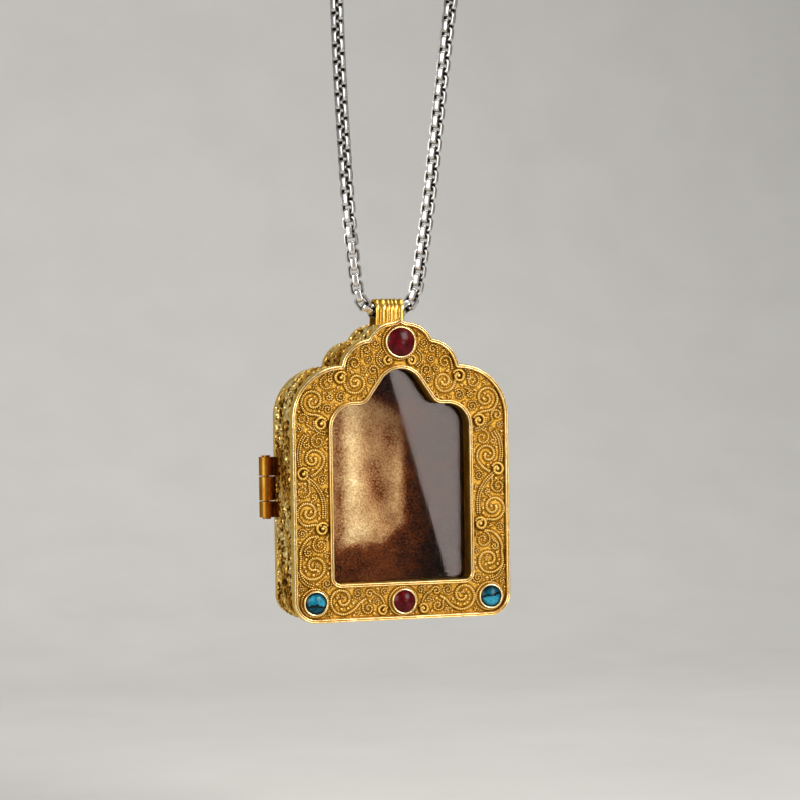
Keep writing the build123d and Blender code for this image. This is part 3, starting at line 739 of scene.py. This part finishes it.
# Painted shade: the ground is darkest against the wires, lip, rim, stones and volutes, lightening over a
# short reach.
ground_shade_tone = GROUND_SHADE_TONES[0] + GROUND_SHADE_TONES[1] * np.clip(clearance / SHADE_REACH, 0.0, 1.0)
ground = row(ground_x, PANEL - GROUND_LIFT, ground_z)
under = row(ground_x[[-1, 0]], PANEL + GROUND_LIFT, ground_z[[-1, 0]])
stippled_gold = metal("stippled_gold", GOLD_TONES, dull=0.5, shine=0.3, grain=3200.0, depth=0.00008)
ground_grid = np.concatenate([ground, under])
ground_grid_tone = np.concatenate([ground_shade_tone, 0 * ground_shade_tone[:2]])
piece("stippled_ground", [(ground_grid, ground_grid_tone, True, True)], stippled_gold, "case")

GRAIN_STEP = 0.55
GRAIN_STRAY = 0.2
GRAIN_ROOM = 0.12
GRAIN_R = (0.1, 0.17)
grain_rows = np.arange(*PANEL_SPAN, GRAIN_STEP)
grain_x, grain_z = np.meshgrid(np.arange(-PANEL_HALF, PANEL_HALF, GRAIN_STEP), grain_rows)
grain_x = (grain_x + seeded.uniform(-GRAIN_STRAY, GRAIN_STRAY, grain_x.shape)).ravel()
grain_z = (grain_z + seeded.uniform(-GRAIN_STRAY, GRAIN_STRAY, grain_z.shape)).ravel()
kept = clear_room(grain_x, grain_z, wire_lines) > GRAIN_ROOM
grains = beads(grain_x[kept], grain_z[kept], seeded.uniform(*GRAIN_R, kept.sum()))
piece("granules", [grains], beaded_gold, "case")


# Volutes: twelve snails of stout milled wire that stand up from the scrollwork beside the lip, the cusps
# and the stones. Gilt, each wound round a bright ball; the hollow between the ball and the coil is dark with
# painted shade, on the ground under it and on the back of the coil's core.
SNAIL_HALF = 0.28
SNAIL_LIFT = (0.08, 0.36)
SNAIL_WAY = [150.0, -60.0, -250.0]
SNAIL_REACH = [1.0, 0.92, 0.42]
BALL_R = 0.36
TIP = 0.2


def core(line, radius, lift):
    """A round wire along a line on the panel, rising from the first lift to the last, drawn to points."""
    around = circle(8)
    walk = length_along(line)
    girth = radius * np.sqrt(np.clip(np.minimum(walk, walk[-1] - walk) / TIP, 0.0, 1.0))[:, None]
    aside, up = girth * np.cos(around), girth * np.sin(around)
    side = across_line(line)
    deep = PANEL - np.linspace(*lift, len(line))[:, None] - up
    grid = row(line[:, :1] + aside * side[:, :1], deep, line[:, 1:] + aside * side[:, 1:])
    # The core is lighter on its front and painted darker on its back as shade.
    return grid, 0.3 + 0.2 * np.sin(around) + 0 * girth, False, True


volute_grids = []
for volute_r, x, z in VOLUTES:
    angle = np.radians(np.linspace(SNAIL_WAY[0], SNAIL_WAY[-1], 60))
    reach = volute_r * np.interp(-angle, -np.radians(SNAIL_WAY), SNAIL_REACH)
    coil = even(np.stack([x + reach * np.cos(angle), z + reach * np.sin(angle)], axis=-1), LINE_STEP)
    for line in both_sides(coil):
        volute_grids.append(core(line, SNAIL_HALF, SNAIL_LIFT))
        volute_grids.append(milled(line, SNAIL_HALF * volute_r, 0.0, SNAIL_LIFT))
    volute_grids.append(beads(np.array([x, -x]), np.array([z, z]), BALL_R * volute_r, SNAIL_LIFT[1]))
snails = piece("volute_snails", volute_grids, beaded_gold, "case")
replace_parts(snails, "volutes")


# Stones: two rubies on the middle line and two turquoises in the lower corners, each in a plain collar of
# thin gold whose lip is rubbed over the stone, with a ring of milled wire round its foot.
COLLAR_HEIGHT = 1.15
COLLAR_ROUND = 0.14
COLLAR_FOOT = 0.08
STONE_PLAY = 0.03
STONE_SEAT = 0.1
STONE_FLOOR = 0.05
STONE_RISE = 0.75
GIRDLE = 1.0
STONE_ROWS = 26
STONE_COLUMNS = 72


def spun(x, z, radii, heights):
    """A profile of radii and heights off the panel, turned about the line through (x, z) out of the panel."""
    around = circle(STONE_COLUMNS)
    radii, heights = np.array(radii)[:, None], np.array(heights)[:, None]
    return row(x + radii * np.cos(around), PANEL - heights + 0 * around, z + radii * np.sin(around))


def collar(x, z, stone_r):
    """The collar's wall: out, up to a rounded lip that leans over the stone, and down inside."""
    lip = np.linspace(0.0, np.pi, 9)
    half = COLLAR_WALL / 2
    middle = stone_r + STONE_PLAY + half
    foot, seat = middle + half + COLLAR_FOOT, stone_r - STONE_SEAT
    radii = np.concatenate([[foot], middle + half * np.cos(lip), [seat]])
    heights = np.concatenate([[0.0], COLLAR_HEIGHT - COLLAR_ROUND + COLLAR_ROUND * np.sin(lip), [0.0]])
    # Dark at both feet, against the panel and against the stone: painted shade; the lip's crest is rubbed
    # bright.
    rub_and_shade = np.concatenate([[0.2], 0.6 + 0.38 * np.sin(lip), [0.1]])
    return spun(x, z, radii, heights), rub_and_shade[:, None], True, True


def milled_ring(x, z, ring_r):
    """Milled wire bent to a circle: ribs that point away from the stone."""
    turn = circle(round(2 * np.pi * ring_r / RIB_PITCH))
    out = np.stack([np.cos(turn), np.sin(turn)], axis=-1)
    way = np.stack([-out[:, 1], out[:, 0]], axis=-1)
    return swells((x, z) + ring_r * out, way, RIB_HALF, RING_HALF, RIB_HEIGHT, 0.0)


def dome(x, z, stone_r):
    """A cabochon: a straight girdle, then height falling with the square of the radius; flat below."""
    share = np.linspace(1.0, 0.0, STONE_ROWS)
    radii = np.concatenate([[0.0, stone_r], stone_r * share])
    heights = np.concatenate([[STONE_FLOOR, STONE_FLOOR], GIRDLE + STONE_RISE * (1.0 - share ** 2)])
    return spun(x, z, radii, heights), 1.0, False, True


RUBY_TONES = [
    (0.35, (0.035, 0.0004, 0.001)),
    (0.6, (0.1, 0.0015, 0.004)),
    (0.8, (0.2, 0.009, 0.018)),
]
ruby_gem, tree, shader, place = blank("ruby_gem")
ruby_red = ramp(tree, noise(tree, place, 900.0, 4.0, 0.6), RUBY_TONES)
feed(shader, {"Base Color": ruby_red, "Roughness": 0.22, "Specular IOR Level": 0.16})

TURQUOISE_TONES = [
    (0.15, (0.001, 0.01, 0.013)),
    (0.38, (0.002, 0.06, 0.09)),
    (0.55, (0.005, 0.16, 0.25)),
    (0.75, (0.045, 0.36, 0.52)),
]
COLLAR_SHADE = (0.002, 0.004, 0.005, 1.0)
COLLAR_SHADE_SPAN = (0.94, 0.66)
SEAM_WANDER = 0.0014
SEAM_SPAN = (0.0001, 0.0003)
SEAM_SIDE = 0.0002


def turquoise(stone, lean, level, deep):
    """Polished turquoise: clouded blue, crossed by a wandering black seam at `level` above its middle.

    On one side of the seam, above or below by the sign of `deep`, the blue is darker by its size, and
    painted shade darkens the stone where it meets its collar.
    """
    stone_r, x, z = STONES[stone]
    made, tree, shader, place = blank(stone + "_stone")
    middle = tuple(row(x, 0.0, z))
    local = node(tree, "VectorMath", {0: place, 1: middle}, operation="SUBTRACT").outputs["Vector"]
    parts = node(tree, "SeparateXYZ", {"Vector": local}).outputs
    leaning = reckon(tree, "MULTIPLY_ADD", parts["X"], lean, parts["Z"])
    wander = reckon(tree, "MULTIPLY_ADD", noise(tree, place, 700.0, 3.0, 0.7), SEAM_WANDER, leaning)
    gap = reckon(tree, "SUBTRACT", wander, level * MM + SEAM_WANDER / 2)
    clear_of_seam = remap(tree, reckon(tree, "ABSOLUTE", gap), *SEAM_SPAN)
    side = remap(tree, gap, -SEAM_SIDE, SEAM_SIDE, -deep, deep)
    tone = reckon(tree, "SUBTRACT", noise(tree, place, 700.0, 4.0, 0.65), side)
    flat = node(tree, "VectorMath", {0: local, 1: (1.0, 0.0, 1.0)}, operation="MULTIPLY").outputs["Vector"]
    reach = node(tree, "VectorMath", {0: flat}, operation="LENGTH").outputs["Value"]
    # Painted shade: a dark ring at the stone's edge, inside the collar.
    out_of_collar_shade = remap(tree, reach, *(share * (stone_r * MM) for share in COLLAR_SHADE_SPAN))
    clear_of_seam_and_shade = reckon(tree, "MULTIPLY", clear_of_seam, out_of_collar_shade)
    blue = ramp(tree, tone, TURQUOISE_TONES)
    shown = node(tree, "Mix", {0: clear_of_seam_and_shade, 6: COLLAR_SHADE, 7: blue}, data_type="RGBA").outputs[2]
    feed(shader, {"Base Color": shown, "Roughness": 0.16, "Specular IOR Level": 0.15})
    return made


stone_finish = {
    "ruby_top": ruby_gem,
    "ruby_bottom": ruby_gem,
    "turquoise_left": turquoise("turquoise_left", lean=0.05, level=-0.5, deep=-0.12),
    "turquoise_right": turquoise("turquoise_right", lean=-0.12, level=0.3, deep=0.12),
}
for name, (stone_r, x, z) in STONES.items():
    setting = [collar(x, z, stone_r), milled_ring(x, z, stone_r + COLLAR_WALL + RING_HALF)]
    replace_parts(piece(name + "_setting", setting, rubbed_gold, "case"), name + "_bezel")
    gem = piece(name + "_gem", [dome(x, z, stone_r)], stone_finish[name], "case")
    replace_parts(gem, name + "_stone")


# Back door and its liner: a flat cover with a raised border, and a shallow tray on its inside that grips
# the wall. Gilt; the cover is plain, with wear, and the tray holds a dented matte sheet with a painted pool
# of light in its middle, and painted shade in its dents and to its right.
door_gold = metal("door_gold", GOLD_TONES, dull=0.4, shine=0.26, grain=900.0, depth=0.000015, fixed=0.64)
SAND_TONES = [
    (0.0, (0.012, 0.004, 0.001)),
    (0.2, (0.11, 0.028, 0.006)),
    (0.5, (0.3, 0.185, 0.085)),
    (0.75, (0.49, 0.38, 0.21)),
    (1.0, (0.72, 0.63, 0.43)),
]
SHEET_INSET = 2.15
SHEET_FACE = 13.3
SHEET_THICK = 0.38
RAGGED = 0.7
# Dents: place across and up, half width, half height and depth.
DENTS = [
    (2.0, 31.4, 1.9, 3.4, 0.26),
    (-2.1, 31.9, 1.4, 1.6, 0.12),
    (-1.4, 25.9, 1.7, 2.8, 0.2),
    (-0.6, 21.4, 1.5, 2.6, 0.22),
    (1.4, 16.6, 1.6, 1.2, 0.16),
    (-4.6, 15.4, 2.4, 1.6, -0.1),
    (-6.0, 24.0, 1.4, 7.0, -0.1),
    (2.9, 24.5, 1.1, 4.0, -0.1),
]


def fade(number):
    """Rises smoothly from 0 to 1 as the number goes from well below zero to well above it."""
    return 1.0 / (1.0 + np.exp(-number))


sheet_bearing = np.linspace(-np.pi, np.pi, 260, endpoint=False)
sheet_edge = np.interp(sheet_bearing, *polar(arch_line(SHEET_INSET)), period=2 * np.pi)
sheet_reach = np.linspace(1.0, 0.0, 90)[:, None] * sheet_edge
sheet_x, sheet_z = sheet_reach * np.cos(sheet_bearing), GROUND_MIDDLE + sheet_reach * np.sin(sheet_bearing)
dented = sum(
    depth * np.exp(-(((sheet_x - x) / wide) ** 2) - ((sheet_z - z) / tall) ** 2)
    for x, z, wide, tall, depth in DENTS
)
# A painted pool of light lies on the sheet inside five soft and ragged edges: left, right, foot, and two that
# slant.
painted_light_patch = fade(seeded.normal(0.0, RAGGED, sheet_x.shape) + np.minimum.reduce([
    3.0 * (sheet_x + 7.6),
    3.0 * (4.2 - sheet_x),
    3.0 * (sheet_z - 12.6),
    2.4 * (sheet_z - 12.9 - 0.9 * (sheet_x - 0.2)),
    1.8 * (38.1 - sheet_z - 0.77 * sheet_x),
]))
# The painted light is palest down its left and right sides, and a strip outside the left edge is painted half
# as bright, as a reflection.
pale = 0.34 + 0.2 * bell(sheet_x + 5.4, 2.2) + 0.06 * bell(sheet_x - 2.8, 1.2)
strip = 0.3 * bell(sheet_x + 9.4, 1.4) * fade(1.5 * (sheet_z - 13.0))
# Painted shade: darker to the right of x = 5 mm and in the dents, lighter on the bumps.
sheet_painted_light = 0.01 + 0.11 * fade(0.6 * (5.0 - sheet_x)) + strip + painted_light_patch * (pale - 0.8 * dented)
sheet_front = row(sheet_x, SHEET_FACE + dented, sheet_z)
sheet_back = row(sheet_x[[0]], SHEET_FACE + SHEET_THICK, sheet_z[[0]])
sheet_grid = np.concatenate([sheet_back, sheet_front])
sheet_grid_light = np.concatenate([sheet_painted_light[:1], sheet_painted_light])
sand_gold = metal("sand_gold", SAND_TONES, dull=0.62, shine=0.45, grain=3000.0, depth=0.00008, speckle=0.7)
piece("liner_sheet", [(sheet_grid, sheet_grid_light, False, True)], sand_gold, "door")
tray_gold = metal("tray_gold", GOLD_TONES, dull=0.5, shine=0.4, grain=1400.0, depth=0.00003, fixed=0.42)
dress("rear_door", door_gold)
dress("door_liner", tray_gold)


# Hinge: two knuckles on leaves soldered to the side wall, one on the door's edge, and a pin peened at both
# ends. Gilt, with painted light on the outside of the knuckles, fading to painted red-brown shade towards
# the wall.
HINGE_PAINTED_LIGHT = 0.62
HINGE_TONES = [
    (0.0, (0.05, 0.01, 0.001)),
    (0.35, (0.36, 0.13, 0.012)),
    (0.65, (0.5, 0.265, 0.042)),
    (1.0, (0.82, 0.62, 0.26)),
]


def hinge_painted_shading(tree, place):
    """A tone that rises evenly across the hinge, from the wall's face out to the far side of the knuckles."""
    low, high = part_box("hinge_leaf_case")
    parts = node(tree, "SeparateXYZ", {"Vector": place}).outputs
    # Painted light on the knuckles' outer side, painted shade towards the wall.
    return remap(tree, parts["X"], low[0], high[0], HINGE_PAINTED_LIGHT, 0.0)


hinge_gold = metal("hinge_gold", HINGE_TONES, dull=0.4, shine=0.28, grain=1200.0, depth=0.00001,
                   fixed=hinge_painted_shading)
for name in ("hinge_leaf_case", "hinge_leaf_door", "hinge_pin"):
    dress(name, hinge_gold)


# Bail: a fluted strap bent to a U over the chain, its feet soldered to the top of the side wall.
# Gilt, bright on the six ridges and brown in the valleys.
BAIL_HALF = 2.575
RIDGES = 6
BAIL_BORE = 1.7
BAIL_STRAP = 0.55
FLUTE = 0.22
FLARE = 0.05
RIDGE_STRAY = 0.22
RIDGE_LEAN = 0.4
VALLEY_RUB = 0.24
RIDGE_RUB = 0.5
BORE_RUB = 0.4
BAIL_MIDDLE = (8.4, 54.35)
BAIL_ACROSS = 73
BAIL_BEND = 40
BAIL_LEG = 10
bail_x = np.linspace(-BAIL_HALF, BAIL_HALF, BAIL_ACROSS)
roof = np.interp(bail_x, *heart_line[heart_line[:, 1] > NOTCH[1]][::-1].T)
over_chain = np.linspace(0.0, np.pi, BAIL_BEND)
bend = np.concatenate([np.zeros(BAIL_LEG), over_chain, np.full(BAIL_LEG, np.pi)])[:, None]
leg = np.linspace(1.0, 0.0, BAIL_LEG, endpoint=False)
sunk = np.concatenate([leg, np.zeros(BAIL_BEND), leg[::-1]])[:, None]
share = (bail_x + BAIL_HALF) / (2 * BAIL_HALF)
ridges_along = RIDGES * share + RIDGE_STRAY * np.sin(9.0 * share + 1.0) - RIDGE_LEAN * np.sin(bend)
ridge = np.abs(np.sin(np.pi * ridges_along))
outer_r = BAIL_BORE + BAIL_STRAP - FLUTE * (1.0 - ridge ** 0.9)
loop_x = np.concatenate([bail_x, bail_x[::-1]]) * (1.0 + FLARE * sunk ** 2)
loop_r = np.concatenate([outer_r, np.full_like(outer_r, BAIL_BORE)], axis=1)
loop_roof = np.concatenate([roof, roof[::-1]]) - BAIL_MIDDLE[1]
bail_y = BAIL_MIDDLE[0] - loop_r * np.cos(bend)
bail_z = BAIL_MIDDLE[1] + loop_r * np.sin(bend) + loop_roof * sunk
bail_grid = row(loop_x, bail_y, bail_z)
caps = bail_grid[[0, -1]].mean(axis=1, keepdims=True) + 0 * bail_grid[[0, -1]]
bail_grid = np.concatenate([caps[:1], bail_grid, caps[1:]])
bail_rub = np.concatenate([VALLEY_RUB + RIDGE_RUB * ridge, np.full_like(ridge, BORE_RUB)], axis=1)
bail_rub = np.concatenate([bail_rub[:1], bail_rub, bail_rub[-1:]])
bail = piece("bail_strap", [(bail_grid, bail_rub, False, True)], rubbed_gold, "case")
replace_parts(bail, "bail")


# Chain: square links of flat wire with rounded edges, each turned a quarter from the last, in two strands
# that meet in the bail. Polished silver, with painted shade on the inner faces of each link.
LINK_WIDTH = 2.5
LINK_LENGTH = 2.47
LINK_BAR = 0.5
LINK_BREADTH = 1.08
BAR_EDGE = 0.55
LINKS = 43
ROUTE_TOP = -58.65
SILVER_TONES = [
    (0.0, (0.015, 0.013, 0.011)),
    (0.45, (0.22, 0.21, 0.2)),
    (0.75, (0.6, 0.59, 0.57)),
    (1.0, (0.8, 0.79, 0.77)),
]
# Strands: route across and up from the bail, length, tail, and the fittings at its end.
STRANDS = {
    "chain_left": (
        [(0.0, -0.2), (-1.8, -0.1), (-3.3, 0.4), (-4.55, 1.5), (-5.3, 3.15), (-5.75, 5.85),
         (-6.2, 10.65), (-6.85, 18.15), (-7.4, 28.15), (-7.95, 39.15), (-8.35, 50.15), (-8.45, 58.15)],
        61.9, 1.15, ("jump_ring", "clasp_body", "clasp_gate", "clasp_pin"),
    ),
    "chain_right": (
        [(0.0, -0.2), (1.8, -0.1), (3.3, 0.4), (4.55, 1.5), (5.4, 3.15), (6.0, 5.85),
         (6.75, 10.65), (7.95, 18.15), (9.25, 28.15), (10.6, 39.15), (12.1, 50.15), (13.25, 58.15)],
        62.4, 1.65, ("end_tag",),
    ),
}
# Twists: numbers of links, and how far the strand is turned there.
TWISTS = {
    "chain_left": ([0, 3, 9, 16, 22], [45.0, 73.0, 73.0, 45.0, 30.0]),
    "chain_right": ([0, 3, 12, 34, 42], [45.0, 58.0, 52.0, 48.0, 30.0]),
}


def strand_line(name, route):
    """Points along the smooth curve that the route's points control, in metres."""
    spline_data = bpy.data.curves.new(name + "_line", "CURVE")
    spline_data.dimensions = "3D"
    spline_data.resolution_u = 24
    spline = spline_data.splines.new("NURBS")
    spline.points.add(len(route) - 1)
    controls = [(x * MM, 0.0, (height + ROUTE_TOP) * MM, 1.0) for x, height in route]
    spline.points.foreach_set("co", np.array(controls).ravel())
    spline.order_u = 3
    spline.use_endpoint_u = True
    guide = bpy.data.objects.new(name + "_line", spline_data)
    mesh = bpy.data.meshes.new_from_object(guide)
    line = np.empty(len(mesh.vertices) * 3)
    mesh.vertices.foreach_get("co", line)
    bpy.data.objects.remove(guide)
    bpy.data.meshes.remove(mesh)
    return line.reshape(-1, 3)


def link_shape():
    """One link: a flat strip with rounded edges bent to a square with rounded corners.

    The square is a superellipse of power five, and the strip's section one of power two over BAR_EDGE.
    """
    around = circle(32)[:, None]
    section = circle(12)
    waves = np.cos(section), np.sin(section)
    thick, broad = (np.sign(wave) * np.abs(wave) ** BAR_EDGE / 2 for wave in waves)
    round_off = (np.abs(np.cos(around)) ** 5 + np.abs(np.sin(around)) ** 5) ** -0.2
    wide = ((LINK_WIDTH - LINK_BAR) / 2 + LINK_BAR * thick) * round_off * np.cos(around)
    tall = ((LINK_LENGTH - LINK_BAR) / 2 + LINK_BAR * thick) * round_off * np.sin(around)
    # Outer faces light, inner faces painted dark as shade.
    rub_and_shade = 0.5 + 0.95 * thick + 0 * around
    return np.stack(np.broadcast_arrays(wide, LINK_BREADTH * broad, tall), axis=-1) * MM, rub_and_shade


def strand_links(line, tail, twist):
    """The link at even steps of a line: its length along the line, its width turned about it by the twist."""
    walk = length_along(line)
    marks = (np.arange(LINKS) + 0.5) * (walk[-1] - tail * MM) / (LINKS - 0.5)
    places = read_off(marks, walk, line)
    along = read_off(marks, walk, np.gradient(line, walk, axis=0))
    along /= np.linalg.norm(along, axis=1, keepdims=True)
    flat = np.cross(along, (0.0, 1.0, 0.0))
    upright = np.cross(along, flat)
    turn = np.radians(twist + 90.0 * (np.arange(LINKS) % 2))[:, None]
    width = flat * np.cos(turn) + upright * np.sin(turn)
    frames = np.stack([width, np.cross(along, width), along], axis=1)
    shape, rub_and_shade = link_shape()
    return places[:, None, None] + np.einsum("rcj,njk->nrck", shape, frames), rub_and_shade


silver = metal("silver", SILVER_TONES, dull=0.5, shine=0.27, grain=1500.0, depth=0.000006)
plain_silver = metal("plain_silver", SILVER_TONES, dull=0.4, shine=0.2, grain=1500.0, depth=0.000006,
                     fixed=0.88)
for name, (route, strand_length, tail, fittings) in STRANDS.items():
    line = strand_line(name, route)
    links, rub_and_shade = strand_links(line, tail, np.interp(np.arange(LINKS), *TWISTS[name]))
    strand = piece(name + "_links", [(links, rub_and_shade, True, True)], silver, "chain")
    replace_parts(strand, name)
    for part in fittings:
        dress(part, plain_silver)


# Stage: a pale sheet that curves up from the floor behind the hanging box, lit by large soft lamps.
# The camera stands where the photograph was taken from, to the left of the window and a little above it.
FLOOR_DROP = 0.045
STAGE_HALF = 1.6
STAGE_FRONT = -1.4
STAGE_TOP = 1.6
BACK_Y = 0.55
BEND_R = 0.3
floor_z = cad_box[0][2] - FLOOR_DROP
bend = np.linspace(0.0, np.pi / 2, 24)
stage_y = np.concatenate([[STAGE_FRONT], BACK_Y - BEND_R + BEND_R * np.sin(bend), [BACK_Y]])
stage_z = np.concatenate([[0.0], BEND_R - BEND_R * np.cos(bend), [STAGE_TOP]]) + floor_z
stage_x = np.linspace(-STAGE_HALF, STAGE_HALF, 3)[:, None]
PAPER_TONES = [(0.3, (0.62, 0.61, 0.59)), (0.7, (0.65, 0.64, 0.62))]
paper, tree, shader, place = blank("paper")
fibres = ramp(tree, noise(tree, place, 40.0, 3.0, 0.5), PAPER_TONES)
feed(shader, {"Base Color": fibres, "Roughness": 0.85})
sweep = bpy.data.meshes.new("backdrop")
points = np.stack(np.broadcast_arrays(stage_x, stage_y, stage_z), axis=-1)
sweep.from_pydata(points.reshape(-1, 3).tolist(), [], quads(3, len(stage_y), False, False).tolist())
sweep.polygons.foreach_set("use_smooth", np.ones(len(sweep.polygons), dtype=bool))
sweep.materials.append(paper)
backdrop = stand("backdrop", sweep)

BOX_MIDDLE = Vector((0.0, 0.0, -0.085))
# Softboxes: place, size, watts, spread and colour.
SOFTBOXES = {
    "key_lamp": ((0.34, -0.5, 0.24), 0.34, 0.98, 90.0, (1.0, 0.97, 0.92)),
    "fill_lamp": ((-0.55, -0.36, 0.1), 0.4, 0.8, 90.0, (1.0, 0.96, 0.9)),
    "top_lamp": ((0.05, 0.05, 0.55), 0.4, 1.9, 180.0, (1.0, 1.0, 1.0)),
}
PANE_LAMP_PLACE = (0.1979, -0.45, -0.0846)
PANE_LAMP_SIZE = (0.12, 0.106)
PANE_LAMP_LEAN = -15.9
PANE_LAMP_WATTS = 0.32
PANE_LAMP_COLOUR = (1.0, 0.84, 0.78)


def aimed(place, target):
    """Stands at a place and faces a target, upright."""
    return Matrix.Translation(place) @ (target - place).to_track_quat("-Z", "Y").to_matrix().to_4x4()


for name, (place, size, watts, spread, colour) in SOFTBOXES.items():
    lamp = stand(name, bpy.data.lights.new(name, "AREA"))
    lamp.data.size = size
    lamp.data.energy = watts
    lamp.data.spread = np.radians(spread)
    lamp.data.color = colour
    lamp.matrix_world = aimed(Vector(place), BOX_MIDDLE)

# The pane lamp stands where the pane mirrors it, and adds nothing to matte surfaces.
pane_lamp = stand("pane_lamp", bpy.data.lights.new("pane_lamp", "AREA"))
pane_lamp.data.shape = "RECTANGLE"
pane_lamp.data.size, pane_lamp.data.size_y = PANE_LAMP_SIZE
pane_lamp.data.energy = PANE_LAMP_WATTS
pane_lamp.data.color = PANE_LAMP_COLOUR
pane_lamp.visible_diffuse = False
leaning = Matrix.Translation(PANE_LAMP_PLACE) @ Matrix.Rotation(np.radians(PANE_LAMP_LEAN), 4, "Y")
pane_lamp.matrix_world = leaning @ Matrix.Rotation(np.radians(90.0), 4, "X")
world = bpy.data.worlds.new("studio")
world.use_nodes = True
feed(world.node_tree.nodes["Background"], {"Color": (0.5, 0.5, 0.5, 1.0), "Strength": 0.5})
bpy.context.scene.world = world

CAMERA_PLACE = Vector((-0.1314, -0.4382, -0.06484))
CAMERA_AIM = Vector((-0.000097, -0.007665, -0.074365))
CAMERA_ROLL = -0.814
CAMERA_LENS = 115.47
CAMERA_SENSOR = 36.0
camera = stand("camera", bpy.data.cameras.new("camera"))
camera.data.lens = CAMERA_LENS
camera.data.sensor_width = CAMERA_SENSOR
camera.matrix_world = aimed(CAMERA_PLACE, CAMERA_AIM) @ Matrix.Rotation(np.radians(CAMERA_ROLL), 4, "Z")
bpy.context.scene.camera = camera
bpy.context.scene.view_settings.view_transform = "Standard"
